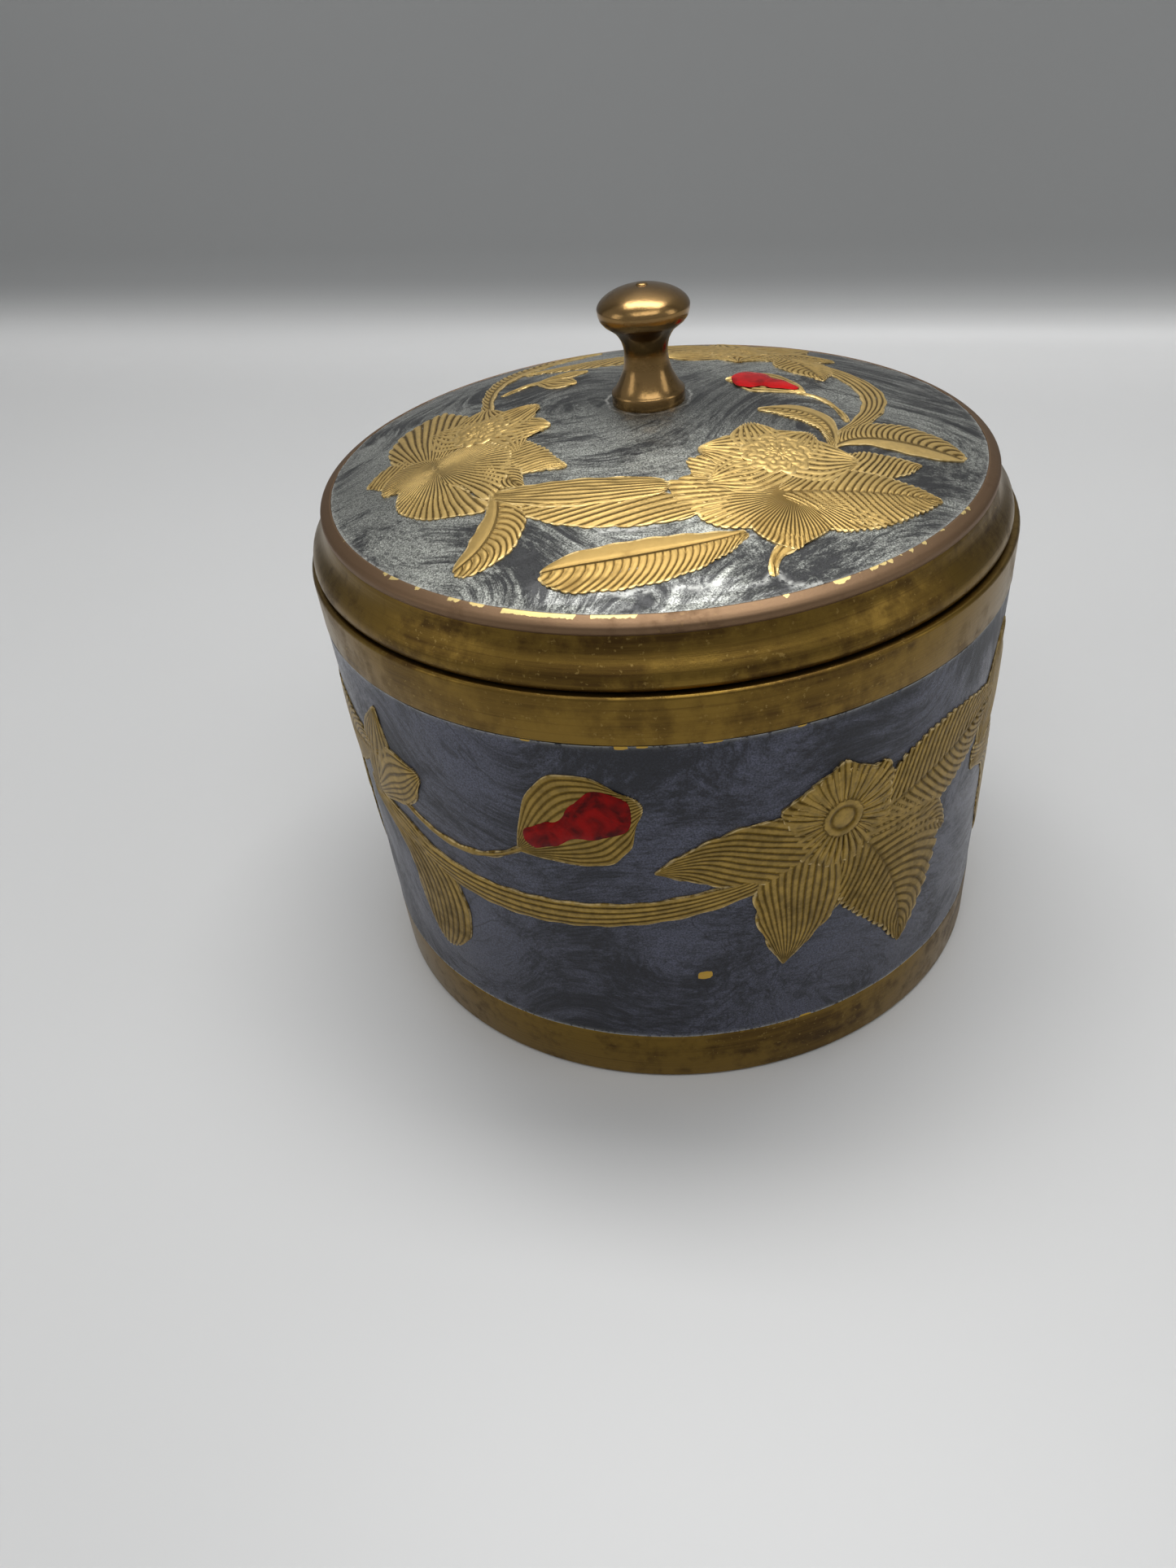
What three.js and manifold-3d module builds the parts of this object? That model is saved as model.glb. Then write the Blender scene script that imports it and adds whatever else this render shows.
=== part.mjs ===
// A round lidded box of cast brass with a floral scroll. The ground round the scroll is
// sunk and filled with grey-blue enamel, and the buds hold a drop of red enamel.
// Millimetres, +Z up, the origin at the middle of the underside, the front towards -Y.
import * as THREE from 'three';
import { mergeVertices } from 'three/addons/utils/BufferGeometryUtils.js';
import Module from 'manifold-3d';

const wasm = await Module();
wasm.setup();

// Body
const bodyTopRadius = 60;
const bodyBaseRadius = 57.4;
const bodyHeight = 81;
const wall = 2.6;
const floorThickness = 2.8;
const footChamfer = 0.5;
const lipChamfer = 0.3;
const bodyFieldLow = 10.6;
const bodyFieldHigh = 72.9;

// Sunk ground and enamel
const groundDepth = 0.9;
const clearance = 0.3;
const enamelBelowBrass = 0.1;
const budRim = 0.6;

// Lid
const lidShift = 0.23;
const lidSkirtRadius = 59.1;
const seatGap = 0.4;
const skirtHeight = 1.5;
const coveFootInset = 0.2;
const coveFootHeight = 1.9;
const coveTopRadius = 56.2;
const coveTopHeight = 7.2;
const coveSag = 0.55;
const coveSteps = 2;
const ringOuterRadius = 56.4;
const ringOuterHeight = 8.6;
const ringInnerRadius = 54.4;
const ringInnerHeight = 9.6;
const domeRise = 9.9;
const domeRows = 3;
const lidWall = 2.4;
const collarPlay = 0.6;
const collarWall = 1.7;
const collarDepth = 6;

// Knob
const knobFootRadius = 6;
const knobCreaseRadius = 5.75;
const knobFootHeight = 2.05;
const knobNeckRadius = 3.55;
const knobNeckHeight = 8;
const knobBulbRadius = 7.4;
const knobBulbHeight = 15.05;
const knobCrown = 3.45;
const knobUnderLift = 1.25;
const knobTipRadius = 0.95;
const knobTipHeight = 0.25;

// Facets
const roundSides = 36;
const knobSides = 16;
const leafStep = 12;
const leastLeafSteps = 2;
const knobFlareSteps = 4;
const knobBulbSteps = 5;
const sharpEnd = 0.7;
const prismInner = 48;
const prismOuter = 76;
const repeats = 3;

const brass = new THREE.MeshStandardMaterial({ color: 0x7c6434, roughness: 0.38, metalness: 1 });
const knobBrass = new THREE.MeshStandardMaterial({ color: 0x86663f, roughness: 0.3, metalness: 1 });
const blueEnamel = new THREE.MeshStandardMaterial({ color: 0x474c5c, roughness: 0.25, metalness: 0.2 });
const greyEnamel = new THREE.MeshStandardMaterial({ color: 0x4c4e50, roughness: 0.22, metalness: 0.2 });
const redEnamel = new THREE.MeshStandardMaterial({ color: 0xa01212, roughness: 0.15, metalness: 0 });

// The scrolls are drawn for an enamel band and a ring of these sizes. The tables are in the
// drawing's millimetres, and each ground scales them to the box.
const drawing = { bandLow: 10.6, bandHigh: 72.9, ringRadius: 54.4 };

// A leaf is drawn along a bent spine from its base to its tip. Its half widths are a straight
// run from root to end, plus a swell to each side that is widest at the peak.
function leaf(base, bend, tip, swell, peak, ends) {
  return { base, bend, tip, swell, peak, ends };
}

// The scroll on the body runs round it three times. Places are degrees round the axis and
// heights.
const bodyScroll = {
  rosette: leaf([-75, 55], [-66, 58.5], [-56.6, 56.5], [3.4, 6.0], 0.5, [1.6, 3.2]),
  leafLeft: leaf([-67, 50.5], [-82, 52], [-93.6, 48.6], [5.2, 3.6], 0.42, [3.0, 0.3]),
  leafLow: leaf([-68, 50], [-73, 38], [-74.2, 25.4], [6.6, 5.4], 0.4, [4.0, 0.3]),
  leafFall: leaf([-61, 47], [-52, 36], [-51, 18.8], [8.6, 5.8], 0.42, [3.0, 0.3]),
  leafSide: leaf([-61, 50], [-50, 48], [-41.5, 38.5], [3.5, 5.0], 0.5, [3.0, 0.6]),
  leafRise: leaf([-59, 50.5], [-44, 55], [-24.5, 57.3], [6.4, 6.6], 0.42, [2.5, 0.5]),
  stem: leaf([-152, 47.5], [-121, 31.5], [-79, 44], [0.7, 0.7], 0.5, [1.8, 2.0]),
  bud: leaf([-114.6, 50.8], [-104, 60], [-95.8, 63.5], [6.6, 5.4], 0.52, [0.5, 2.4]),
  fanRise: leaf([-149.5, 47], [-147, 58], [-141, 66.6], [2.8, 3.2], 0.6, [1.8, 0.8]),
  fanSide: leaf([-148, 48], [-141, 53], [-133.6, 58.4], [4.2, 2.6], 0.62, [1.8, 1.2]),
  fanFall: leaf([-152, 45.5], [-130, 42], [-136.5, 21.6], [2.4, 2.6], 0.6, [1.6, 5.6]),
};
const bodyBudDrop = leaf([-113, 52.6], [-105, 56], [-97.2, 62.6], [1.6, 1.6], 0.78, [1.2, 2.0]);

// The scroll on the lid joins three flowers into a wreath. Places are in plan.
const lidScroll = {
  leftFan: leaf([-34.5, -13], [-42, -2], [-38.5, 12.5], [3.8, 5.2], 0.62, [0.8, 1.4]),
  leftWing: leaf([-34, -12.5], [-40, -11], [-45.6, -13.6], [3.2, 3.4], 0.55, [1.2, 0.9]),
  leftKeel: leaf([-34.5, -12], [-37, -21], [-25, -28], [3.6, 3.2], 0.45, [1.0, 1.0]),
  leftCup: leaf([-34.5, -11], [-27, -13], [-25, -25], [4.2, 4.2], 0.45, [1.6, 1.2]),
  leftCrown: leaf([-29.5, 6], [-28, -3], [-21.5, -14.5], [5.4, 5.2], 0.5, [1.0, 2.2]),
  leftCrownRise: leaf([-27, -4], [-23, -1.5], [-18.8, 3], [1.4, 1.6], 0.6, [3.0, 0.9]),
  leftCrownSide: leaf([-27, -4.5], [-22, -5.5], [-16.8, -6.5], [1.6, 1.8], 0.6, [3.0, 0.9]),
  leftSpur: leaf([-25, -13], [-21, -17], [-13.4, -21.2], [2.6, 3.2], 0.45, [1.5, 0.4]),
  leftBlade: leaf([-23.8, -24], [-20, -36.5], [-28.4, -41], [1.6, 1.5], 0.6, [1.4, 1.8]),
  sash: leaf([-24, -26.5], [-12, -32], [3, -32.2], [2.4, 2.8], 0.5, [1.6, 5.0]),
  rightShell: leaf([18, -33], [3, -33], [8, -20.5], [3.0, 3.4], 0.5, [2.5, 1.5]),
  rightFan: leaf([20, -31.5], [11, -36], [4.5, -36.5], [2.5, 3.6], 0.45, [2.0, 1.4]),
  rightKeel: leaf([20, -31], [18, -38], [20, -43.5], [3.2, 4.0], 0.45, [2.5, 0.9]),
  rightLeaf: leaf([19, -31.5], [33, -29], [41.8, -29], [3.6, 5.6], 0.42, [2.2, 0.5]),
  rightLeafLow: leaf([20, -32], [27, -36.5], [34.5, -36], [2.5, 3.0], 0.45, [2.0, 0.6]),
  rightCrown: leaf([7.8, -20], [18, -22], [30.8, -21.5], [4.2, 5.4], 0.45, [1.4, 1.8]),
  rightCrownTop: leaf([17, -20], [16, -16], [14.8, -12.2], [0.6, 0.6], 0.5, [3.4, 1.3]),
  rightCrownRise: leaf([20, -20], [23, -17.5], [25, -14.2], [1.0, 1.0], 0.5, [3.0, 1.6]),
  rightSpur: leaf([28, -22.5], [34, -22.5], [40.5, -20.7], [2.0, 2.2], 0.5, [1.0, 0.4]),
  rightPlume: leaf([27.5, -18], [34, -9.5], [47, -14.6], [2.2, 2.0], 0.62, [0.8, 3.6]),
  rightCurl: leaf([27.5, -18], [29, -6.5], [17.4, -6.9], [1.6, 2.4], 0.62, [0.7, 0.5]),
  frontBlade: leaf([12, -41], [2, -47], [-15.8, -45.8], [1.8, 2.0], 0.55, [0.8, 2.2]),
  backStem: leaf([29, -14], [46.5, 6], [26, 22], [1.2, 1.2], 0.55, [0.7, 1.7]),
  bud: leaf([25.4, 1.6], [18, 7.4], [12.9, 6.4], [3.2, 3.4], 0.5, [0.6, 1.8]),
  backLeaf: leaf([25, 23], [28, 16], [29.5, 9.5], [3.2, 3.2], 0.45, [2.5, 0.5]),
  backCrown: leaf([3.4, 24.5], [17, 25.5], [33, 26], [5.6, 5.6], 0.5, [2.4, 1.6]),
  backCrownTop: leaf([16, 28], [16, 35], [14, 42], [2.6, 2.6], 0.45, [4.0, 0.6]),
  backCrownEast: leaf([19, 28], [25, 32.5], [30, 37.5], [2.6, 2.6], 0.5, [3.4, 0.6]),
  backCrownWest: leaf([13, 28], [8, 33], [2.5, 39], [2.6, 2.6], 0.5, [3.4, 0.6]),
  backSash: leaf([-22, 26.5], [-10, 24], [5, 27], [1.6, 2.4], 0.6, [0.7, 2.2]),
  smallLeaf: leaf([-25.5, 14], [-19, 18.5], [-11.6, 15.4], [1.6, 2.0], 0.7, [0.5, 2.4]),
  leftStem: leaf([-27.5, 6], [-31, 34], [-9, 40.5], [2.6, 2.2], 0.72, [1.0, 1.0]),
};
const lidBudDrop = leaf([24.2, 2.7], [18.5, 6.2], [14.4, 7.4], [1.1, 1.1], 0.7, [1.0, 1.6]);

// The closed outline of a leaf on its ground, let out by grow on all sides. A sharp end takes
// one point and a blunt end two.
function leafOutline(shape, grow, ground) {
  const [base, bend, tip] = [shape.base, shape.bend, shape.tip]
    .map(([x, y]) => new THREE.Vector2(x * ground.across, ground.low + (y - ground.drawnLow) * ground.unit));
  const spine = new THREE.QuadraticBezierCurve(base, bend, tip);
  const steps = Math.max(leastLeafSteps, Math.round(spine.getLength() / leafStep));
  const bias = Math.log(0.5) / Math.log(shape.peak);
  const left = [];
  const right = [];
  for (let i = 0; i <= steps; i++) {
    const t = i / steps;
    const along = spine.getTangent(t);
    const across = new THREE.Vector2(-along.y, along.x);
    const swell = ground.unit * Math.sin(Math.PI * t ** bias);
    const run = ground.unit * (shape.ends[0] * (1 - t) + shape.ends[1] * t);
    const centre = spine.getPoint(t);
    const outward = i === 0 ? -1 : 1;
    if (i > 0 && i < steps) {
      left.push(centre.clone().addScaledVector(across, run + shape.swell[0] * swell + grow));
      right.push(centre.clone().addScaledVector(across, -run - shape.swell[1] * swell - grow));
    } else if (run < sharpEnd) {
      left.push(centre.clone().addScaledVector(along, outward * (run + grow)));
    } else {
      const corner = centre.clone().addScaledVector(along, outward * grow);
      left.push(corner.clone().addScaledVector(across, run + grow));
      right.push(corner.clone().addScaledVector(across, -run - grow));
    }
  }
  return right.concat(left.reverse());
}

function solidOf(geometry) {
  const bare = geometry.index ? geometry.toNonIndexed() : geometry.clone();
  bare.deleteAttribute('normal');
  bare.deleteAttribute('uv');
  const merged = mergeVertices(bare, 1e-4);
  return new wasm.Manifold(new wasm.Mesh({
    numProp: 3,
    vertProperties: new Float32Array(merged.attributes.position.array),
    triVerts: new Uint32Array(merged.index.array),
  }));
}

function geometryOf(solid) {
  const mesh = solid.getMesh();
  const geometry = new THREE.BufferGeometry();
  geometry.setAttribute('position', new THREE.BufferAttribute(new Float32Array(mesh.vertProperties), 3));
  geometry.setIndex(new THREE.BufferAttribute(new Uint32Array(mesh.triVerts), 1));
  return geometry;
}

// A solid of revolution about Z from [radius, height] pairs.
function turned(profile, sides) {
  const points = profile.map(([r, z]) => new THREE.Vector2(r, z));
  const geometry = new THREE.LatheGeometry(points, sides);
  geometry.rotateX(Math.PI / 2);
  return solidOf(geometry);
}

function closed(profile) {
  return profile.concat([profile[0]]);
}

function joined(solids) {
  return solids.reduce((sum, solid) => sum.add(solid));
}

function bodyRadiusAt(z) {
  return bodyBaseRadius + (bodyTopRadius - bodyBaseRadius) * z / bodyHeight;
}

// Millimetres of arc in one degree at the middle of the enamel band.
const arcPerDegree = THREE.MathUtils.degToRad(bodyRadiusAt((bodyFieldLow + bodyFieldHigh) / 2));
const bodyGround = {
  across: arcPerDegree,
  unit: (bodyFieldHigh - bodyFieldLow) / (drawing.bandHigh - drawing.bandLow),
  drawnLow: drawing.bandLow,
  low: bodyFieldLow,
};
const lidUnit = ringInnerRadius / drawing.ringRadius;
const lidGround = { across: lidUnit, unit: lidUnit, drawnLow: 0, low: 0 };

// A wedge that cuts a leaf's outline out of the body's wall, from inside it to outside it.
function bodyWedge(shape, grow, turn) {
  const outline = leafOutline(shape, grow, bodyGround);
  const geometry = new THREE.ExtrudeGeometry(new THREE.Shape(outline), { depth: 1, bevelEnabled: false });
  const position = geometry.attributes.position;
  for (let i = 0; i < position.count; i++) {
    const angle = THREE.MathUtils.degToRad(position.getX(i) / arcPerDegree + turn);
    const radius = position.getZ(i) > 0.5 ? prismOuter : prismInner;
    position.setXYZ(i, radius * Math.cos(angle), radius * Math.sin(angle), position.getY(i));
  }
  return solidOf(geometry);
}

function bodyWedges(shapes, grow) {
  const wedges = [];
  for (let i = 0; i < repeats; i++) {
    for (const shape of shapes) wedges.push(bodyWedge(shape, grow, i * 360 / repeats));
  }
  return joined(wedges);
}

function lidPrisms(shapes, grow) {
  return joined(shapes.map((shape) => {
    const outline = leafOutline(shape, grow, lidGround);
    const depth = ringInnerHeight + domeRise * 2;
    return solidOf(new THREE.ExtrudeGeometry(new THREE.Shape(outline), { depth, bevelEnabled: false }));
  }));
}

// The body's enamel band between two depths below the brass.
function bodyBand(outerDepth, innerDepth, margin) {
  const low = bodyFieldLow + margin;
  const high = bodyFieldHigh - margin;
  return turned(closed([
    [bodyRadiusAt(low) - innerDepth, low],
    [bodyRadiusAt(low) - outerDepth, low],
    [bodyRadiusAt(high) - outerDepth, high],
    [bodyRadiusAt(high) - innerDepth, high],
  ]), roundSides);
}

// Height of the lid's dome above its lower edge, on a sphere through the ring and the rise.
const domeSphere = (ringInnerRadius ** 2 + domeRise ** 2) / (2 * domeRise);

function domeAt(radius) {
  return ringInnerHeight + domeRise - domeSphere + Math.sqrt(domeSphere ** 2 - radius ** 2);
}

// Points over the dome from its middle to its edge, the same rows for brass and enamel.
function domeRun(edge, drop) {
  return Array.from({ length: domeRows + 1 }, (_, i) => {
    const radius = edge * i / domeRows;
    return [radius, domeAt(radius) - drop];
  });
}

// A slab that follows the dome between two depths below the brass.
function domeSlab(outerDrop, innerDrop) {
  const under = domeRun(ringInnerRadius, innerDrop);
  return turned(under.concat(domeRun(ringInnerRadius, outerDrop).reverse()), roundSides);
}

// What of a slab lies between the knob's foot and the ring.
function domeTrim(slab) {
  const hole = knobFootRadius + clearance;
  const edge = ringInnerRadius - clearance;
  const top = ringInnerHeight + domeRise * 2;
  return slab.intersect(turned(closed([[hole, 0], [edge, 0], [edge, top], [hole, top]]), roundSides));
}

// The concave side of the lid, from the skirt up to the ring.
function coveRun() {
  const foot = lidSkirtRadius - coveFootInset;
  return Array.from({ length: coveSteps + 1 }, (_, i) => {
    const t = i / coveSteps;
    const straight = foot + (coveTopRadius - foot) * t;
    const radius = straight - coveSag * Math.sin(Math.PI * t);
    return [radius, coveFootHeight + (coveTopHeight - coveFootHeight) * t];
  });
}

function bodyShell() {
  const brassShell = turned([
    [0, 0],
    [bodyBaseRadius - footChamfer, 0],
    [bodyRadiusAt(footChamfer), footChamfer],
    [bodyRadiusAt(bodyFieldLow), bodyFieldLow],
    [bodyRadiusAt(bodyFieldHigh), bodyFieldHigh],
    [bodyRadiusAt(bodyHeight - lipChamfer), bodyHeight - lipChamfer],
    [bodyTopRadius - lipChamfer, bodyHeight],
    [bodyTopRadius - wall, bodyHeight],
    [bodyRadiusAt(floorThickness) - wall, floorThickness],
    [0, floorThickness],
  ], roundSides);
  const sunk = bodyBand(-groundDepth, groundDepth, 0).subtract(bodyWedges(Object.values(bodyScroll), 0));
  const budHollow = bodyBand(-groundDepth, groundDepth, 0)
    .intersect(bodyWedges([bodyBudDrop], clearance))
    .intersect(bodyWedges([bodyScroll.bud], -budRim));
  return brassShell.subtract(sunk).subtract(budHollow);
}

function bodyEnamel() {
  const band = bodyBand(enamelBelowBrass, groundDepth - clearance, clearance);
  return band.subtract(bodyWedges(Object.values(bodyScroll), clearance));
}

function bodyBudEnamel(turn) {
  const band = bodyBand(0, groundDepth - clearance, clearance);
  return band
    .intersect(bodyWedge(bodyBudDrop, 0, turn))
    .intersect(bodyWedge(bodyScroll.bud, -budRim - clearance, turn));
}

function lidShell() {
  const collarOuter = bodyRadiusAt(bodyHeight - collarDepth) - wall - collarPlay;
  const brassLid = turned([
    ...domeRun(ringInnerRadius - lidWall, lidWall),
    [coveTopRadius - lidWall, coveTopHeight - lidWall],
    [collarOuter - collarWall, coveFootHeight],
    [collarOuter - collarWall, -collarDepth],
    [collarOuter, -collarDepth],
    [collarOuter, 0],
    [lidSkirtRadius, 0],
    [lidSkirtRadius, skirtHeight],
    ...coveRun(),
    [ringOuterRadius, ringOuterHeight],
    ...domeRun(ringInnerRadius, 0).reverse(),
  ], roundSides);
  const field = domeSlab(-groundDepth, groundDepth);
  const prisms = lidPrisms(Object.values(lidScroll), 0);
  const budHollow = field
    .intersect(lidPrisms([lidBudDrop], clearance))
    .intersect(lidPrisms([lidScroll.bud], -budRim));
  return brassLid.subtract(field.subtract(prisms)).subtract(budHollow);
}

function lidEnamel() {
  const slab = domeTrim(domeSlab(enamelBelowBrass, groundDepth - clearance));
  return slab.subtract(lidPrisms(Object.values(lidScroll), clearance));
}

function lidBudEnamel() {
  return domeSlab(0, groundDepth - clearance)
    .intersect(lidPrisms([lidBudDrop], 0))
    .intersect(lidPrisms([lidScroll.bud], -budRim - clearance));
}

// The knob from its foot up: a flared foot, a thin neck and a flattened bulb with a small tip.
function knobProfile() {
  const foot = Array.from({ length: knobFlareSteps }, (_, i) => {
    const t = i / knobFlareSteps;
    const ease = 1 - Math.sin(Math.PI / 2 * t);
    return [
      knobNeckRadius + (knobCreaseRadius - knobNeckRadius) * ease,
      knobFootHeight + (knobNeckHeight - knobFootHeight) * t,
    ];
  });
  const under = Array.from({ length: knobBulbSteps + 1 }, (_, i) => {
    const t = i / knobBulbSteps;
    const swell = (1 - Math.cos(Math.PI * t)) / 2;
    const rise = knobUnderLift * t + (1 - knobUnderLift) * t * t;
    return [
      knobNeckRadius + (knobBulbRadius - knobNeckRadius) * swell,
      knobNeckHeight + (knobBulbHeight - knobNeckHeight) * rise,
    ];
  });
  const tipAngle = Math.acos(knobTipRadius / knobBulbRadius);
  const crown = Array.from({ length: knobBulbSteps }, (_, i) => {
    const angle = tipAngle * (i + 1) / knobBulbSteps;
    return [knobBulbRadius * Math.cos(angle), knobBulbHeight + knobCrown * Math.sin(angle)];
  });
  const top = crown[crown.length - 1][1] + knobTipHeight;
  return [[0, 0], [knobFootRadius, 0], ...foot, ...under, ...crown, [knobTipRadius, top], [0, top]];
}

// The separate fillings of an enamel, the largest first.
function fillings(solid) {
  return solid.decompose().sort((one, other) => other.volume() - one.volume());
}

function piece(name, solid, material) {
  const mesh = new THREE.Mesh(geometryOf(solid), material);
  mesh.name = name;
  return mesh;
}

const box = new THREE.Group();
box.add(piece('box_body', bodyShell(), brass));
const [bodyEnamelLow, bodyEnamelHigh] = fillings(bodyEnamel());
box.add(piece('body_enamel_low', bodyEnamelLow, blueEnamel));
box.add(piece('body_enamel_high', bodyEnamelHigh, blueEnamel));
for (let i = 0; i < repeats; i++) {
  box.add(piece(`body_bud_enamel_${i + 1}`, bodyBudEnamel(i * 360 / repeats), redEnamel));
}

const lid = new THREE.Group();
lid.position.set(-lidShift, 0, bodyHeight + seatGap);
lid.add(piece('lid', lidShell(), brass));
lid.add(piece('lid_enamel', fillings(lidEnamel())[0], greyEnamel));
lid.add(piece('lid_bud_enamel', lidBudEnamel(), redEnamel));
const knob = piece('lid_knob', turned(knobProfile(), knobSides), knobBrass);
knob.position.set(0, 0, domeAt(0) - groundDepth + clearance);
lid.add(knob);
box.add(lid);

export default box;
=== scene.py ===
"""The looks of a round lidded brass box with a floral scroll in enamel.

Lengths in the tables are millimetres. Body places are degrees round the axis and height,
lid places are plan millimetres from the lid's middle.
"""

from __future__ import annotations

import logging
import math
from dataclasses import dataclass, field
from enum import Enum

import bpy
import numpy as np
from mathutils import Matrix, Vector

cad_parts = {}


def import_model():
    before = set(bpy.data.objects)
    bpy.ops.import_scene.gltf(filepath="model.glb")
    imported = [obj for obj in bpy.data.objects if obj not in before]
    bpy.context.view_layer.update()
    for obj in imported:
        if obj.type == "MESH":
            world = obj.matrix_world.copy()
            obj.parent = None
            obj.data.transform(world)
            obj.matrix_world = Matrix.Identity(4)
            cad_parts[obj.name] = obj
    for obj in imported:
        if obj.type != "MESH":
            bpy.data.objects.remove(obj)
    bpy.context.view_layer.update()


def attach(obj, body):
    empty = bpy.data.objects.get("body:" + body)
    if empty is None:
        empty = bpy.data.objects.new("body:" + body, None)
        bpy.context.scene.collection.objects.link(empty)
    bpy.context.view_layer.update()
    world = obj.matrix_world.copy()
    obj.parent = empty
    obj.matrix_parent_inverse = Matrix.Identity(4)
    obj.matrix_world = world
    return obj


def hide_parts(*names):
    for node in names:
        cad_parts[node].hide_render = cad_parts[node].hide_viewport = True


LOG = logging.getLogger("enamel_box")
MM = 0.001
Pair = tuple[float, float]
Colour = tuple[float, float, float]
Point = tuple[float, float, float]
Node = bpy.types.Node
Socket = bpy.types.NodeSocket
Tree = bpy.types.NodeTree
Material = bpy.types.Material


class VeinStyle(Enum):
    """How the engraved lines run over a leaf."""

    FEATHER = "feather"
    DIAGONAL = "diagonal"
    LENGTHWISE = "lengthwise"
    RAYS = "rays"
    COMB = "comb"


@dataclass(frozen=True)
class Veins:
    """The engraved lines of one leaf.

    Attributes:
        style: how they run.
        count: how many there are, or how many would fill a whole turn for rays.
        slant: how many lines the pattern shifts from the spine to the edge.
        focus: where rays start.
    """

    style: VeinStyle
    count: float
    slant: float = 0.0
    focus: Pair | None = None


@dataclass(frozen=True)
class Leaf:
    """A leaf along a bent spine.

    Attributes:
        base: the start of the spine.
        bend: the point that bends it.
        tip: its end.
        swell: how far the leaf bulges to the left and to the right of the spine.
        peak: the share of the way at which it bulges most.
        ends: half the width at the base and at the tip.
        veins: the engraved lines.
        lift: how far it lies above the leaves under it.
        teeth: how far its edge is nicked between the lines.
    """

    base: Pair
    bend: Pair
    tip: Pair
    swell: Pair
    peak: float
    ends: Pair
    veins: Veins
    lift: float = 0.0
    teeth: float = 0.3


@dataclass(frozen=True)
class Rosette:
    """A round flower head with rays or scales.

    Attributes:
        centre: its middle.
        radius: its radius without the scallops.
        rays: how many lines run out from the ring.
        ring: the radius of the raised ring.
        dot: the radius of the raised dot.
        lift: how far it lies above the leaves under it.
        scallop: the depth of a scallop as a share of the radius.
        scallops: how many scallops there are.
        scales: how many rows of scales take the place of the rays, 0 for none.
    """

    centre: Pair
    radius: float
    rays: int
    ring: float
    dot: float
    lift: float = 0.3
    scallop: float = 0.07
    scallops: int = 12
    scales: int = 0


def feather(count: float, slant: float = 3.0) -> Veins:
    """Veins that leave a midrib on both sides."""
    return Veins(VeinStyle.FEATHER, count, slant)


def comb(count: float, slant: float = 1.5) -> Veins:
    """Short veins on the left of the spine and long lines on its right."""
    return Veins(VeinStyle.COMB, count, slant)


def diagonal(count: float, slant: float) -> Veins:
    """Veins that cross the leaf in one direction."""
    return Veins(VeinStyle.DIAGONAL, count, slant)


def lengthwise(count: float) -> Veins:
    """Lines that follow the leaf from base to tip."""
    return Veins(VeinStyle.LENGTHWISE, count)


def rays(count: float, focus: Pair) -> Veins:
    """Lines that spread from one point."""
    return Veins(VeinStyle.RAYS, count, 0.0, focus)


LEFT_FOCUS = (-34.5, -13.0)
RIGHT_FOCUS = (20.0, -32.0)

BODY_LEAVES: dict[str, Leaf] = {
    "stem": Leaf((-152, 47.5), (-121, 31.5), (-79, 44), (0.7, 0.7), 0.5, (1.8, 2.0), lengthwise(5)),
    "fan_fall": Leaf(
        (-152, 45.5), (-130, 42), (-135.9, 22), (2.4, 2.6), 0.6, (1.6, 5.9), lengthwise(9), 0.06, 0.5),
    "fan_rise": Leaf(
        (-149.5, 47), (-147, 58), (-142, 67.6), (2.8, 5.4), 0.5, (1.8, 0.3), lengthwise(8), 0.03),
    "fan_side": Leaf((-148, 48), (-141, 53), (-134, 58), (5.2, 2.8), 0.58, (1.8, 1.4), lengthwise(8), 0.1),
    "bud_stalk": Leaf((-114, 51.3), (-125, 42.5), (-140, 50.5), (0.1, 0.1), 0.5, (0.5, 0.6), lengthwise(1)),
    "bud": Leaf((-114.6, 50.8), (-104.5, 58.5), (-97.2, 61.2), (6.6, 5.7), 0.5, (0.6, 5.0), lengthwise(15)),
    "leaf_low": Leaf(
        (-68, 50), (-73, 38), (-74.2, 25.4), (6.6, 5.4), 0.4, (4.0, 0.3), diagonal(6, 6.5), 0.02, 0.6),
    "leaf_left": Leaf(
        (-67, 50.5), (-82, 52), (-93.6, 48.6), (5.2, 3.6), 0.42, (3.0, 0.3), diagonal(8, -4.5), 0.1, 0.2),
    "leaf_side": Leaf(
        (-61, 50), (-50, 48), (-41.5, 38.5), (3.5, 5.0), 0.5, (3.0, 0.6), feather(16, 3), 0.04, 0.3),
    "leaf_rise": Leaf(
        (-59, 50.5), (-44, 55), (-24.5, 57.3), (6.4, 6.8), 0.42, (2.5, 0.5), feather(24, 4), 0.08, 0.7),
    "leaf_fall": Leaf(
        (-61, 47), (-52, 36), (-51, 18.8), (9.4, 5.8), 0.38, (5.0, 0.3), feather(17, 4), 0.14, 1.5),
    "rosette_right": Leaf(
        (-65, 52), (-60, 56), (-57.4, 60.4), (2.6, 2.4), 0.5, (6.0, 1.0), rays(48, (-65, 53.3)), 0.16),
    "rosette_left": Leaf(
        (-65, 52), (-70, 56), (-74.5, 57.4), (2.6, 2.6), 0.5, (6.0, 0.8), rays(48, (-65, 53.3)), 0.17),
    "rosette_top": Leaf(
        (-65, 52), (-65, 58), (-65, 62.4), (3.4, 3.4), 0.5, (6.5, 3.2), rays(48, (-65, 53.3)), 0.18),
}
BODY_ROSETTE = Rosette((-65, 53.3), 8.8, 32, 2.8, 1.2, 0.3)
BODY_DROP = Leaf((-113.2, 53.4), (-105.5, 56.6), (-96.8, 62.8), (2.2, 2.0), 0.8, (2.3, 2.2), lengthwise(1))

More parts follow.
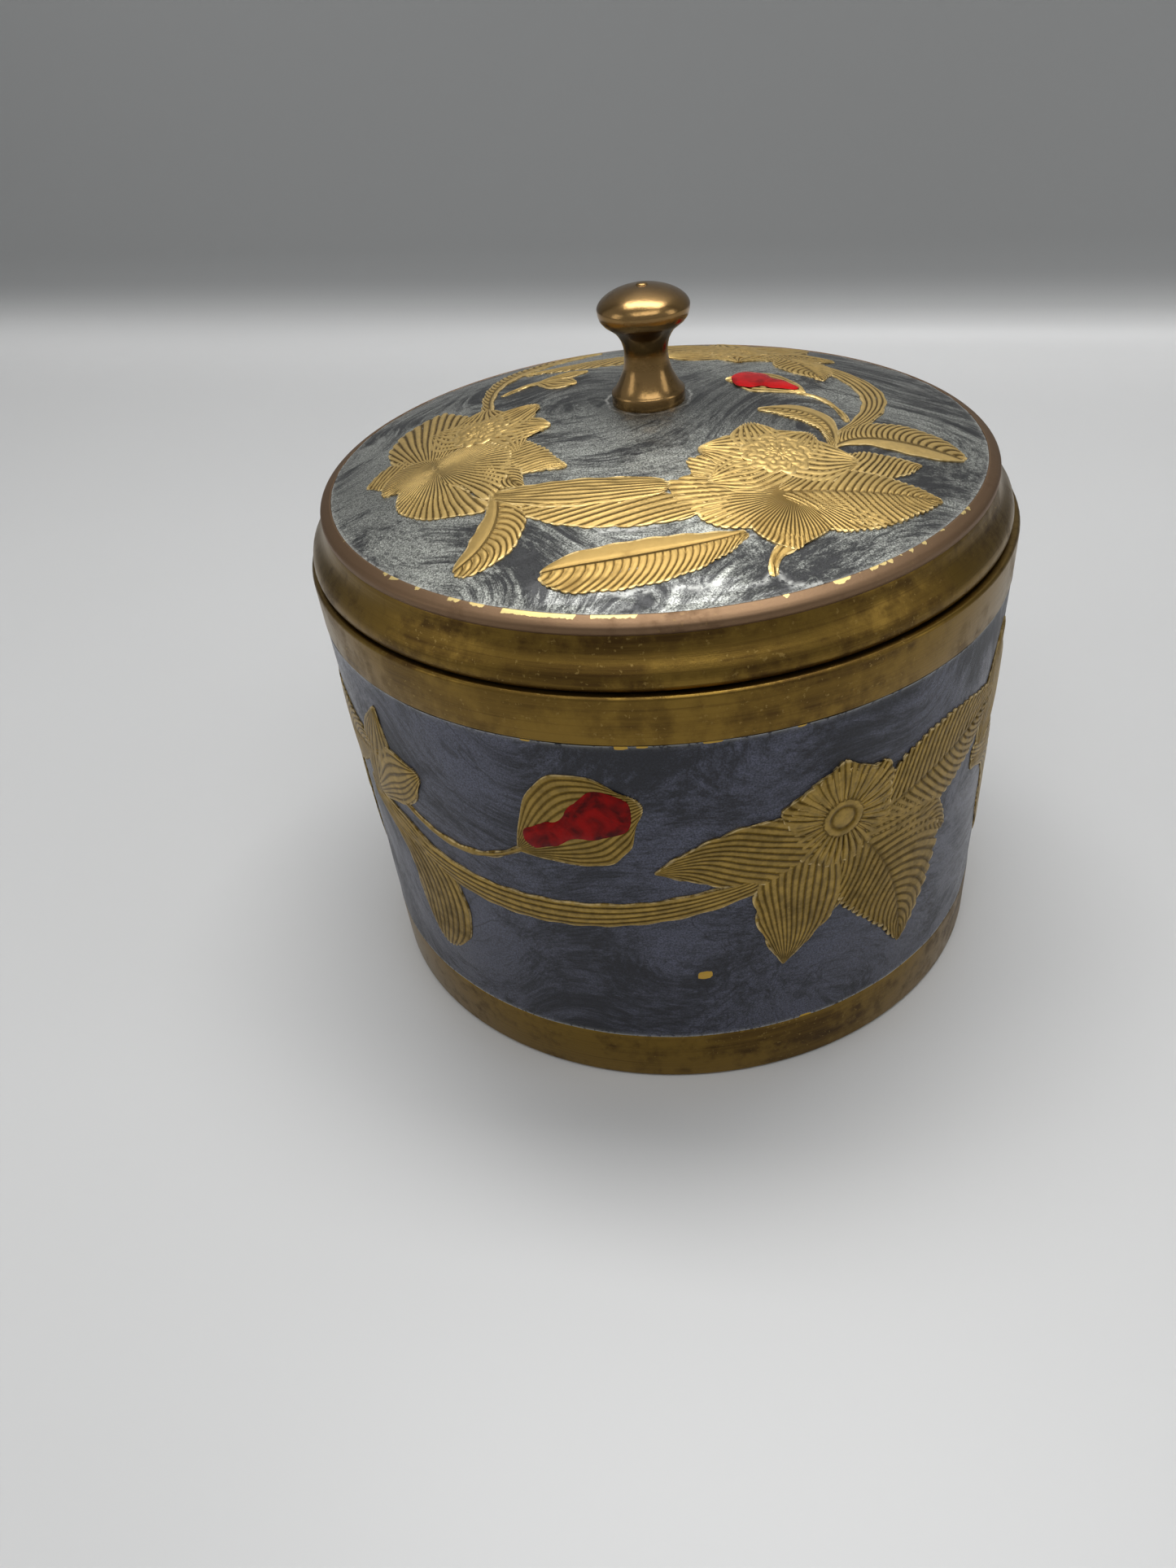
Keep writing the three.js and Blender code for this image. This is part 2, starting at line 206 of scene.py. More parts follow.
LID_LEAVES: dict[str, Leaf] = {
    "back_stem": Leaf((29, -14), (46.5, 6), (26, 22), (1.2, 1.2), 0.55, (0.7, 1.7), lengthwise(5)),
    "left_stem": Leaf((-27.5, 6), (-31, 34), (-9, 40.5), (2.6, 2.2), 0.72, (1.0, 1.0), comb(26, 1.2)),
    "bud_stalk": Leaf((31, -9), (30, 0), (24.2, 1.4), (0.1, 0.1), 0.5, (0.5, 0.5), lengthwise(1)),
    "bud": Leaf((25.4, 1.6), (19.4, 6.4), (14.6, 6.9), (3.1, 3.5), 0.5, (0.6, 3.0), lengthwise(9)),
    "small_stalk": Leaf((-25.5, 13.5), (-22, 17), (-18, 16.8), (0.2, 0.2), 0.5, (0.6, 0.9), lengthwise(1)),
    "small_leaf_top": Leaf((-19, 16.8), (-15, 19), (-11, 19), (1.4, 1.4), 0.6, (0.9, 0.9), lengthwise(4)),
    "small_leaf_low": Leaf((-19, 17), (-16, 14), (-12.8, 12), (2.0, 2.2), 0.6, (0.9, 0.8), lengthwise(5)),
    "sash_low": Leaf(
        (-22, -28), (-14, -33.4), (6, -34.6), (1.6, 2.4), 0.55, (0.8, 2.8), diagonal(13, 3.0), 0.02),
    "sash_top": Leaf((-24, -25.8), (-13, -29.6), (1, -29.5), (1.5, 1.6), 0.5, (1.3, 2.4), lengthwise(8), 0.2),
    "back_sash": Leaf((-22, 26.5), (-10, 24), (5, 27), (1.6, 2.4), 0.6, (0.7, 2.2), diagonal(14, 2.4)),
    "back_leaf": Leaf(
        (25, 23), (28, 16), (29.5, 9.5), (3.2, 3.2), 0.45, (2.5, 0.5), feather(12, 3), 0.05, 0.3),
    "back_crown_left": Leaf(
        (17, 27), (10, 26), (3.5, 24.5), (3.0, 3.0), 0.5, (3.0, 2.8), lengthwise(8), 0.05, 0.6),
    "back_crown_low": Leaf((17, 27), (16, 22), (16, 18.6), (4.6, 4.6), 0.35, (4.0, 0.6), lengthwise(9), 0.08),
    "back_crown_right": Leaf(
        (17, 27), (24, 26), (33, 25.5), (3.2, 4.2), 0.5, (3.0, 1.5), feather(16, 4), 0.06, 0.3),
    "back_crown_top": Leaf((17, 27), (16, 35), (14, 42), (3.6, 3.6), 0.45, (4.0, 0.9), lengthwise(8), 0.05),
    "back_crown_east": Leaf((17, 27), (24, 33), (30, 38), (3.4, 3.4), 0.5, (4.0, 0.9), lengthwise(7), 0.1),
    "back_crown_west": Leaf((17, 27), (8, 33), (2, 40), (3.4, 3.4), 0.5, (4.0, 0.9), lengthwise(7), 0.1),
    "left_blade": Leaf(
        (-23.8, -24), (-19.6, -36.5), (-28.6, -41), (2.0, 2.2), 0.55, (1.4, 1.9), comb(15, 1.6), 0.1),
    "left_tip": Leaf(
        (-39, -11), (-43, -9.5), (-46.4, -10.4), (2.2, 3.6), 0.5, (2.0, 0.8), diagonal(8, 1.5), 0.02, 0.4),
    "left_keel": Leaf(
        (-34.5, -12), (-38, -21), (-25.5, -28), (3.0, 4.6), 0.45, (1.6, 1.0), rays(76, LEFT_FOCUS), 0.07),
    "left_fan": Leaf(
        (-34.5, -13), (-40, -2), (-36.8, 11.5), (4.2, 6.6), 0.56, (1.0, 3.2),
        rays(92, (-35.5, -15)), 0.05, 0.5),
    "left_wing": Leaf(
        (-33.6, -12.2), (-39, -12), (-42.5, -15.2), (4.2, 2.8), 0.5, (2.4, 1.8), rays(84, LEFT_FOCUS), 0.13),
    "left_cup": Leaf(
        (-34.5, -12), (-26.5, -12), (-25, -25.5), (5.0, 4.6), 0.42, (1.6, 1.2),
        rays(84, LEFT_FOCUS), 0.18, 0.4),
    "left_spur": Leaf(
        (-25, -12), (-21, -16), (-13.4, -21.2), (2.6, 3.6), 0.4, (2.4, 0.4), diagonal(14, 3), 0.06, 0.5),
    "left_spur_low": Leaf(
        (-25, -15), (-24, -20), (-20, -24.5), (2.0, 2.4), 0.45, (1.5, 0.6), feather(10, 3), 0.1),
    "left_crown_back": Leaf(
        (-28, -5), (-31.5, -3), (-35.6, 1.0), (2.6, 2.6), 0.55, (3.0, 2.2), lengthwise(8), 0.16, 0.6),
    "left_crown_low": Leaf(
        (-28, -5), (-24, -8.5), (-22, -13), (3.4, 3.4), 0.45, (3.0, 1.8), lengthwise(9), 0.14, 0.6),
    "left_crown_side": Leaf(
        (-28, -5), (-22, -5.5), (-17.4, -6.5), (2.0, 2.4), 0.55, (2.5, 2.2), lengthwise(8), 0.18, 0.7),
    "left_crown_top": Leaf(
        (-28.5, -5), (-28.5, 1), (-28, 5.5), (2.8, 3.2), 0.45, (3.0, 2.0), lengthwise(9), 0.2, 0.7),
    "left_crown_rise": Leaf(
        (-28, -5), (-24, -1.5), (-19.6, 2.4), (1.8, 1.8), 0.55, (3.0, 2.2), lengthwise(8), 0.24, 0.7),
    "right_tail": Leaf((19, -42.5), (15.5, -44), (15.6, -48.4), (0.3, 0.3), 0.3, (1.0, 0.5), lengthwise(2)),
    "front_blade": Leaf(
        (12.4, -40.6), (2, -46.6), (-15.2, -45.6), (1.9, 2.0), 0.5, (0.8, 3.5), comb(25, 1.8), 0.06),
    "right_shell": Leaf(
        (20, -31), (10, -33), (3.4, -29.4), (3.2, 3.8), 0.6, (2.0, 3.0), rays(84, (21, -31)), 0.08, 0.4),
    "right_shell_top": Leaf(
        (19, -29), (12, -27), (6.4, -23.6), (2.6, 2.6), 0.6, (2.0, 2.6), rays(84, (20, -31)), 0.04, 0.5),
    "right_fan": Leaf(
        (20, -31.5), (13, -36), (7, -36.6), (2.5, 3.0), 0.5, (2.0, 1.8), rays(84, RIGHT_FOCUS), 0.12, 0.4),
    "right_keel": Leaf(
        (20, -31), (18, -38), (19, -42.6), (4.2, 4.0), 0.5, (2.5, 1.9), rays(84, RIGHT_FOCUS), 0.16),
    "right_leaf_low": Leaf(
        (20, -32), (26, -36), (33.5, -36), (2.5, 3.0), 0.45, (2.0, 0.6), rays(84, RIGHT_FOCUS), 0.1, 0.7),
    "right_leaf": Leaf(
        (19, -31.5), (33, -29.6), (41.8, -29.4), (3.8, 5.6), 0.42, (2.2, 0.5), feather(22, 3.4), 0.2, 0.8),
    "right_spur": Leaf(
        (28, -22.5), (34, -22.5), (40.5, -20.4), (2.2, 2.8), 0.45, (1.4, 0.4), diagonal(13, 2.4), 0.04, 0.5),
    "right_crown_back": Leaf(
        (18.5, -22.5), (13, -21.4), (8.4, -20.4), (2.6, 2.8), 0.5, (4.0, 2.4), lengthwise(9), 0.2, 0.8),
    "right_crown_low": Leaf(
        (18.5, -23.5), (14, -27.5), (9.4, -28.6), (2.2, 2.4), 0.6, (4.0, 2.6), lengthwise(9), 0.22, 0.7),
    "right_crown_side": Leaf(
        (18.5, -23), (24, -22.5), (29.4, -22.2), (2.6, 3.0), 0.55, (4.0, 2.4), lengthwise(9), 0.24, 0.8),
    "right_crown_top": Leaf(
        (18, -22), (16.2, -17.5), (15.6, -13.6), (1.2, 1.2), 0.5, (4.2, 2.5), lengthwise(8), 0.26, 0.9),
    "right_crown_rise": Leaf(
        (18.5, -22.5), (21.5, -19), (23.6, -16.2), (2.0, 1.8), 0.55, (4.0, 2.8), lengthwise(9), 0.28, 0.8),
    "right_plume": Leaf(
        (27.5, -18), (34, -9.5), (47, -14.6), (2.2, 2.0), 0.62, (0.8, 3.6), comb(22, 2.0), 0.06),
    "right_curl": Leaf(
        (27.5, -18), (29, -6.5), (17.4, -6.9), (1.6, 2.4), 0.62, (0.7, 0.5), comb(17, 1.6), 0.1),
}
LID_ROSETTES: tuple[Rosette, ...] = (
    Rosette((-27.8, -3.6), 4.4, 14, 2.4, 1.0, 0.4, 0.16, 11, 4),
    Rosette((18.8, -21.6), 5.0, 15, 3.0, 1.3, 0.44, 0.16, 12, 5),
    Rosette((16.5, 27), 4.8, 14, 2.6, 1.1, 0.34, 0.16, 11, 4),
)
LID_DROP = Leaf((24.6, 2.5), (19, 6.4), (14.0, 7.2), (1.9, 1.9), 0.62, (1.1, 3.0), lengthwise(1))


@dataclass
class Shell:
    """Vertices in millimetres, faces and point values that grow as parts are added."""

    points: list[np.ndarray] = field(default_factory=list)
    faces: list[tuple[int, ...]] = field(default_factory=list)
    values: dict[str, list[np.ndarray]] = field(default_factory=dict)
    count: int = 0

    def add(self, points: np.ndarray, faces: list[tuple[int, ...]], **values: np.ndarray) -> None:
        """Adds a part.

        Args:
            points: its vertices, one row each.
            faces: its faces as vertex numbers from 0.
            values: one array a point value, as long as the vertices.
        """
        self.points.append(points)
        self.faces.extend(tuple(i + self.count for i in face) for face in faces)
        for name, value in values.items():
            self.values.setdefault(name, []).append(value)
        self.count += len(points)

    def build(self, name: str, body: str, slot: str, material: Material,
              sharp: float = 40.0) -> bpy.types.Object:
        """Makes the object and lets it ride on its body.

        Args:
            name: the object's name.
            body: the body that it moves with.
            slot: the record's material slot; not used.
            material: its finish.
            sharp: edges that turn by more than this many degrees stay sharp.

        Returns:
            The new object.
        """
        points = np.concatenate(self.points) * MM
        mesh = bpy.data.meshes.new(name)
        mesh.from_pydata(points.tolist(), [], self.faces)
        for key, parts in self.values.items():
            layer = mesh.attributes.new(key, "FLOAT", "POINT")
            layer.data.foreach_set("value", np.concatenate(parts).astype(np.float32))
        mesh.update()
        mesh.shade_smooth()
        mesh.set_sharp_from_angle(angle=math.radians(sharp))
        mesh.materials.append(material)
        thing = bpy.data.objects.new(name, mesh)
        bpy.context.scene.collection.objects.link(thing)
        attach(thing, body)
        LOG.info("%s: %d faces", name, len(mesh.polygons))
        return thing


def grid_faces(rows: int, columns: int, wrap: bool = False) -> list[tuple[int, ...]]:
    """Quads over a grid of vertices.

    Args:
        rows: vertices one way.
        columns: vertices the other way.
        wrap: whether the last column meets the first.

    Returns:
        The faces.
    """
    faces = []
    last = columns if wrap else columns - 1
    for i in range(rows - 1):
        for j in range(last):
            k = (j + 1) % columns
            faces.append((i * columns + j, i * columns + k, (i + 1) * columns + k, (i + 1) * columns + j))
    return faces


def border(rows: int, columns: int) -> list[int]:
    """The vertices round the edge of a grid, in order.

    Args:
        rows: vertices one way.
        columns: vertices the other way.

    Returns:
        Their numbers.
    """
    return (
        list(range(columns))
        + [i * columns + columns - 1 for i in range(1, rows)]
        + [(rows - 1) * columns + j for j in range(columns - 2, -1, -1)]
        + [i * columns for i in range(rows - 2, 0, -1)]
    )


def turned(profile: list[Pair], sides: int, shell: Shell, offset: Pair = (0.0, 0.0),
           **values: np.ndarray) -> None:
    """Turns a profile about the axis and adds it to a shell.

    Args:
        profile: radius and height pairs, a radius of 0 only at its ends.
        sides: how many steps round.
        shell: where it is added.
        offset: the axis in plan.
        values: point values along the profile.
    """
    outline = np.array(profile, float)
    angle = np.linspace(0, 2 * math.pi, sides, endpoint=False)
    x = outline[:, :1] * np.cos(angle) + offset[0]
    y = outline[:, :1] * np.sin(angle) + offset[1]
    z = np.repeat(outline[:, 1:], sides, axis=1)
    points = np.stack([x, y, z], -1).reshape(-1, 3)
    spread = {key: np.repeat(value, sides) for key, value in values.items()}
    closed = np.allclose(outline[0], outline[-1])
    rows = len(outline) - 1 if closed else len(outline)
    points = points[:rows * sides]
    spread = {key: value[:rows * sides] for key, value in spread.items()}
    faces = grid_faces(rows, sides, wrap=True)
    if closed:
        start = (rows - 1) * sides
        faces += [(start + j, start + (j + 1) % sides, (j + 1) % sides, j) for j in range(sides)]
    shell.add(points, faces, **spread)


def softened(profile: list[Pair], radius: float, steps: int = 3) -> list[Pair]:
    """Rounds the inner corners of an open profile.

    Args:
        profile: radius and height pairs.
        radius: how far from a corner the rounding starts.
        steps: segments in each corner.

    Returns:
        The rounded profile.
    """
    rounded = [profile[0]]
    for before, corner, after in zip(profile, profile[1:], profile[2:]):
        a, c, b = np.array(before, float), np.array(corner, float), np.array(after, float)
        reach_a = min(radius, np.linalg.norm(a - c) * 0.45)
        reach_b = min(radius, np.linalg.norm(b - c) * 0.45)
        start = c + (a - c) / np.linalg.norm(a - c) * reach_a
        end = c + (b - c) / np.linalg.norm(b - c) * reach_b
        for i in range(steps + 1):
            t = i / steps
            point = (1 - t) ** 2 * start + 2 * t * (1 - t) * c + t * t * end
            rounded.append((float(point[0]), float(point[1])))
    rounded.append(profile[-1])
    return rounded


@dataclass(frozen=True)
class BodyWall:
    """The slightly tapered wall that carries the body's scroll."""

    base_radius: float = 57.4
    top_radius: float = 60.0
    height: float = 81.0
    field_low: float = 10.6
    field_high: float = 72.9
    turn: float = 0.0

    def radius(self, z: np.ndarray | float) -> np.ndarray | float:
        """Outer radius at a height."""
        return self.base_radius + (self.top_radius - self.base_radius) * z / self.height

    @property
    def scale(self) -> float:
        """Millimetres of arc in one degree at the middle of the enamel."""
        return math.radians(self.radius((self.field_low + self.field_high) / 2))

    def place(self, x: np.ndarray, y: np.ndarray, depth: np.ndarray) -> np.ndarray:
        """Puts flat places on the wall.

        Args:
            x: arc millimetres.
            y: heights.
            depth: how far out from the wall's surface.

        Returns:
            One row of x, y, z a place.
        """
        angle = np.radians(x / self.scale + self.turn)
        radius = self.radius(y) + depth
        return np.stack([radius * np.cos(angle), radius * np.sin(angle), y], -1)


@dataclass(frozen=True)
class LidDome:
    """The domed top that carries the lid's scroll."""

    base: float = 81.4
    shift: float = 0.23
    edge_radius: float = 54.4
    edge_height: float = 9.6
    rise: float = 9.9
    scale: float = 1.0

    @property
    def sphere(self) -> float:
        """Radius of the sphere that the dome is part of."""
        return (self.edge_radius ** 2 + self.rise ** 2) / (2 * self.rise)

    def height(self, radius: np.ndarray | float) -> np.ndarray | float:
        """Height of the dome above the lid's lower edge."""
        return self.edge_height + self.rise - self.sphere + np.sqrt(self.sphere ** 2 - radius ** 2)

    def place(self, x: np.ndarray, y: np.ndarray, depth: np.ndarray) -> np.ndarray:
        """Puts plan places on the dome.

        Args:
            x: plan millimetres to the right.
            y: plan millimetres to the back.
            depth: how far out from the dome's surface.

        Returns:
            One row of x, y, z a place.
        """
        radius = np.hypot(x, y)
        level = self.height(radius)
        reach = self.sphere
        upright = (level - self.edge_height - self.rise + reach) / reach
        return np.stack([
            x * (1 + depth / reach) - self.shift,
            y * (1 + depth / reach),
            level + self.base + depth * upright,
        ], -1)


Ground = BodyWall | LidDome


@dataclass(frozen=True)
class Sheet:
    """A grid of places on a leaf.

    Attributes:
        t: shares along it.
        v: shares across it, 1 at its left edge.
        x: flat places.
        y: flat places.
        half: half the leaf's width, on the side of each place.
        phase: the number of the engraved line at each place.
        length: the length of the spine.
    """

    t: np.ndarray
    v: np.ndarray
    x: np.ndarray
    y: np.ndarray
    half: np.ndarray
    phase: np.ndarray
    length: float


@dataclass(frozen=True)
class Carver:
    """Cuts leaves and rosettes as closed relief on a curved ground.

    Attributes:
        ground: what it is cut on.
        edge_level: how high a leaf's edge stands.
        lift_height: millimetres for a lift of 1.
        crown: how far a leaf's middle stands above its edge.
        vein_depth: the depth of an engraved line.
        skirt: how deep a leaf is sunk into the ground.
        step: the spacing of vertices across fine lines.
        cross_step: their spacing along lengthwise lines.
        slant_step: their spacing across a leaf whose lines slant away from its spine.
        crowding: how much columns crowd towards the edge, 1 for even ones.
        tip_rounding: how far a blunt tip is narrowed.
        wobble: how far the edge strays.
        rib_depth: the depth of the groove along a midrib.
        rib_width: its width.
        comb_rib: where the groove of a comb leaf runs, as a share across.
        comb_rib_width: its width.
        line_limit: lines a vertex at which a line is left out, too fine for the mesh.
        line_fade: over how much below that limit it fades.
    """

    ground: Ground
    edge_level: float = 0.02
    lift_height: float = 0.8
    crown: float = 0.22
    vein_depth: float = 0.24
    skirt: float = -0.75
    step: float = 0.37
    cross_step: float = 0.8
    slant_step: float = 0.56
    crowding: float = 1.15
    tip_rounding: float = 0.36
    wobble: float = 0.12
    rib_depth: float = 0.12
    rib_width: float = 0.28
    comb_rib: float = -0.3
    comb_rib_width: float = 0.25
    line_limit: float = 0.46
    line_fade: float = 0.2

    def spine(self, leaf: Leaf, t: np.ndarray) -> tuple[np.ndarray, np.ndarray]:
        """Points along a leaf's spine, and the direction to its left.

        Args:
            leaf: the leaf.
            t: shares of the way from base to tip.

        Returns:
            The points and the directions, one row each.
        """
        scale = np.array([self.ground.scale, 1.0])
        base, bend, tip = (np.array(p, float) * scale for p in (leaf.base, leaf.bend, leaf.tip))
        t = t[:, None]
        points = (1 - t) ** 2 * base + 2 * t * (1 - t) * bend + t * t * tip
        along = 2 * (1 - t) * (bend - base) + 2 * t * (tip - bend)
        along /= np.linalg.norm(along, axis=1, keepdims=True)
        return points, np.stack([-along[:, 1], along[:, 0]], -1)

    def phase(self, leaf: Leaf, t: np.ndarray, v: np.ndarray, x: np.ndarray, y: np.ndarray) -> np.ndarray:
        """The number of the engraved line at each place, growing by 1 a line.

        Args:
            leaf: the leaf.
            t: shares along it.
            v: shares across it, 1 at its left edge.
            x: flat places.
            y: flat places.

        Returns:
            One number a place.
        """
        veins = leaf.veins
        sway = 0.35 * np.sin(5.1 * t + 2.3 * v + leaf.lift * 40) + 0.2 * np.sin(11 * t - 3 * v)
        if veins.style is VeinStyle.RAYS:
            fx, fy = veins.focus[0] * self.ground.scale, veins.focus[1]
            tip_x, tip_y = leaf.tip[0] * self.ground.scale, leaf.tip[1]
            turn = math.atan2(tip_y - fy, tip_x - fx)
            dx, dy = x - fx, y - fy
            angle = np.arctan2(
                dy * math.cos(turn) - dx * math.sin(turn),
                dx * math.cos(turn) + dy * math.sin(turn),
            )
            return veins.count * angle / (2 * math.pi) + 0.4 * sway
        if veins.style is VeinStyle.LENGTHWISE:
            return veins.count * (v + 1) / 2 + 0.5 * sway
        if veins.style is VeinStyle.DIAGONAL:
            return veins.count * t - veins.slant * v + 0.6 * sway
        if veins.style is VeinStyle.COMB:
            short = veins.count * t - veins.slant * (v - self.comb_rib) ** 2 + 0.15 * sway
            return np.where(v > self.comb_rib, short, 0.5 + 0.2 * v)
        return veins.count * t - veins.slant * np.abs(v) ** 1.25 + 0.3 * sway

    @staticmethod
    def groove(phase: np.ndarray) -> np.ndarray:
        """How deep a line is cut at each place, 0 on a ridge and 1 in a groove."""
        part = np.abs(phase - np.floor(phase) - 0.5) * 2
        return part ** 3

    def _add_relief(self, shell: Shell, grid: tuple[np.ndarray, ...], faces: list[tuple[int, ...]],
                    edge: list[int], shade: float, **values: np.ndarray) -> None:
        """Adds a carved top and the lower rim that sinks it into the ground.

        Args:
            shell: where it is added.
            grid: flat places x and y, and the level of the top.
            faces: all faces, the rim's vertices numbered after the top's.
            edge: the top's vertices that the rim lies under.
            shade: how dark it is, from 0 to 1.
            values: the point values vein, rim and rib of the top.
        """
        x, y, level = (part.ravel() for part in grid)
        top = self.ground.place(x, y, level)
        low = self.ground.place(x[edge], y[edge], np.full(len(edge), self.skirt))
        below = {"vein": 0.5, "rim": 0.0, "rib": 0.0}
        spread = {
            name: np.concatenate([value.ravel(), np.full(len(edge), below[name])])
            for name, value in values.items()
        }
        place = np.concatenate([top, low])
        shell.add(place, faces, **spread, shade=np.full(len(place), shade))

    def _grid_size(self, leaf: Leaf, length: float) -> tuple[int, int]:
        """How many vertices a leaf has along and across.

        Args:
            leaf: the leaf.
            length: the length of its spine.

        Returns:
            Rows and columns.
        """
        style = leaf.veins.style
        across_fine = style in (VeinStyle.LENGTHWISE, VeinStyle.RAYS)
        along_step = self.cross_step if style is VeinStyle.LENGTHWISE else self.step
        across_step = self.step if across_fine else self.slant_step
        width = sum(leaf.swell) + sum(leaf.ends)
        rows = max(8, round(length / along_step)) + 1
        columns = 2 * max(3, round(width / across_step / 2)) + 1
        return rows, columns

    def _half_width(self, leaf: Leaf, t: np.ndarray, v: np.ndarray) -> np.ndarray:
        """Half the width of a leaf at each row, on the side of each place.

        Args:
            leaf: the leaf.
            t: shares along it, one a row.
            v: shares across it, one a place.

        Returns:
            One width a place.
        """
        bias = math.log(0.5) / math.log(leaf.peak)
        swell = np.sin(math.pi * t ** bias)
        run = leaf.ends[0] * (1 - t) + leaf.ends[1] * t
        left_half = (run + leaf.swell[0] * swell)[:, None]
        right_half = (run + leaf.swell[1] * swell)[:, None]
        blunt = min(1.0, max(0.0, (leaf.ends[1] - 1.2) / 1.5))
        narrowed = 1 - self.tip_rounding * blunt * np.clip((t - 0.8) / 0.2, 0, 1) ** 3
        return np.where(v > 0, left_half, right_half) * narrowed[:, None]

    def _sheet(self, leaf: Leaf) -> Sheet:
        """The grid of a leaf, with its ends bulged and its edge nicked between the lines.

        Args:
            leaf: the leaf.

        Returns:
            The grid.
        """
        points, _ = self.spine(leaf, np.linspace(0, 1, 40))
        length = float(np.linalg.norm(np.diff(points, axis=0), axis=1).sum())
        rows, columns = self._grid_size(leaf, length)
        t = np.linspace(0, 1, rows)
        v = np.linspace(-1, 1, columns)
        v = np.sign(v) * (1 - (1 - np.abs(v)) ** self.crowding)
        tt, vv = np.meshgrid(t, v, indexing="ij")
        half = self._half_width(leaf, t, vv)
        centre, left = self.spine(leaf, t)
        along = np.stack([left[:, 1], -left[:, 0]], -1)
        stray = self.wobble * np.sin(7.0 * tt * length / 6 + leaf.lift * 50) * np.abs(vv) ** 3
        bulge = (1 - vv ** 2) * 0.5
        tip_push = bulge * leaf.ends[1] * np.clip((tt - 0.75) / 0.25, 0, 1) ** 2
        base_push = bulge * leaf.ends[0] * np.clip((0.2 - tt) / 0.2, 0, 1) ** 2
        flat = (
            centre[:, None, :]
            + left[:, None, :] * (vv * (half + stray))[..., None]
            + along[:, None, :] * (tip_push - base_push)[..., None]
        )
        x, y = flat[..., 0], flat[..., 1]
        phase = self.phase(leaf, tt, vv, x, y)
        nick = leaf.teeth * (0.4 - self.groove(phase))
        sideways = nick * np.sign(vv) * np.abs(vv) ** 7 * np.clip(half / 1.5, 0, 1)
        onward = nick * np.clip((tt - 0.86) / 0.14, 0, 1) ** 2 * np.clip(leaf.ends[1] / 0.8, 0, 1)
        x = x + left[:, None, 0] * sideways + along[:, None, 0] * onward
        y = y + left[:, None, 1] * sideways + along[:, None, 1] * onward
        return Sheet(tt, vv, x, y, half, phase, length)

    def _level(self, leaf: Leaf, sheet: Sheet) -> tuple[np.ndarray, np.ndarray]:
        """How high a leaf stands, and where its midrib runs.

        Args:
            leaf: the leaf.
            sheet: its grid.

        Returns:
            The level and the midrib's strength at each place.
        """
        style = leaf.veins.style
        phase, v = sheet.phase, sheet.v
        puff = 1 - np.abs(v) ** 2.6
        ends = np.clip(np.minimum(sheet.t, 1 - sheet.t) * sheet.length / 1.2, 0, 1) ** 0.6
        jump = np.maximum(np.abs(np.gradient(phase, axis=0)), np.abs(np.gradient(phase, axis=1)))
        cut = self.groove(phase) * np.clip((self.line_limit - jump) / self.line_fade, 0, 1)
        if style is VeinStyle.RAYS:
            focus_x = leaf.veins.focus[0] * self.ground.scale
            focus = np.hypot(sheet.x - focus_x, sheet.y - leaf.veins.focus[1])
            cut = cut * np.clip(focus / 2.2, 0.2, 1)
            puff = puff * np.clip(focus / 5, 0.25, 1)
        rib = np.zeros_like(v)
        if style is VeinStyle.FEATHER:
            rib = np.exp(-(v * sheet.half / self.rib_width) ** 2)
        if style is VeinStyle.COMB:
            rib = np.exp(-((v - self.comb_rib) * sheet.half / self.comb_rib_width) ** 2)
        level = (
            self.edge_level + leaf.lift * self.lift_height
            + self.crown * puff * ends
            - self.vein_depth * cut * (0.35 + 0.65 * puff)
            - self.rib_depth * rib
        )
        return level, rib

    def leaf(self, shell: Shell, leaf: Leaf, shade: float) -> None:
        """Adds a leaf to a shell.

        Args:
            shell: where it is added.
            leaf: the leaf.
            shade: how dark it is, from 0 to 1.
        """
        sheet = self._sheet(leaf)
        level, rib = self._level(leaf, sheet)
        from_side = (1 - np.abs(sheet.v)) * sheet.half
        from_end = np.minimum(sheet.t, 1 - sheet.t) * sheet.length + 0.05
        rows, columns = sheet.t.shape
        loop = border(rows, columns)
        start = rows * columns
        around = len(loop)
        faces = grid_faces(rows, columns)
        for i in range(around):
            j = (i + 1) % around
            faces.append((loop[j], loop[i], start + i, start + j))
        faces.append(tuple(start + i for i in range(around)))
        self._add_relief(
            shell, (sheet.x, sheet.y, level), faces, loop, shade,
            vein=sheet.phase, rim=np.minimum(from_side, from_end), rib=rib)

    def rosette(self, shell: Shell, rosette: Rosette, shade: float) -> None:
        """Adds a rosette to a shell.

        Args:
            shell: where it is added.
            rosette: the rosette.
            shade: how dark it is, from 0 to 1.
        """
        sides = rosette.rays * 8
        share = np.linspace(0, 1, max(14, round(rosette.radius / 0.3)))
        angle = np.linspace(0, 2 * math.pi, sides + 1)
        ss, aa = np.meshgrid(share, angle, indexing="ij")
        outer = rosette.radius * (1 + rosette.scallop * np.abs(np.sin(aa * rosette.scallops / 2)))
        radius = ss * outer
        x = rosette.centre[0] * self.ground.scale + radius * np.cos(aa)
        y = rosette.centre[1] + radius * np.sin(aa)
        phase = rosette.rays * aa / (2 * math.pi) + 0.25 * np.sin(3 * ss + 2 * aa)
        beyond = np.clip((radius - rosette.ring - 0.4) / 0.6, 0, 1)
        cut = self.groove(phase) * beyond
        ring = np.exp(-((radius - rosette.ring) / 0.45) ** 2)
        dot = np.exp(-(radius / rosette.dot) ** 4)
        moat = np.exp(-((radius - (rosette.ring + rosette.dot) / 2 - 0.1) / 0.4) ** 2)
        foot = self.edge_level + rosette.lift * self.lift_height
        level = (
            foot
            + self.crown * (1 - ss ** 3) * 0.8
            - self.vein_depth * cut
            + 0.1 * ring + 0.1 * dot - 0.1 * moat
        )
        vein = np.where(beyond > 0.5, phase, 0.5 - 0.45 * moat / max(moat.max(), 1e-6))
        if rosette.scales:
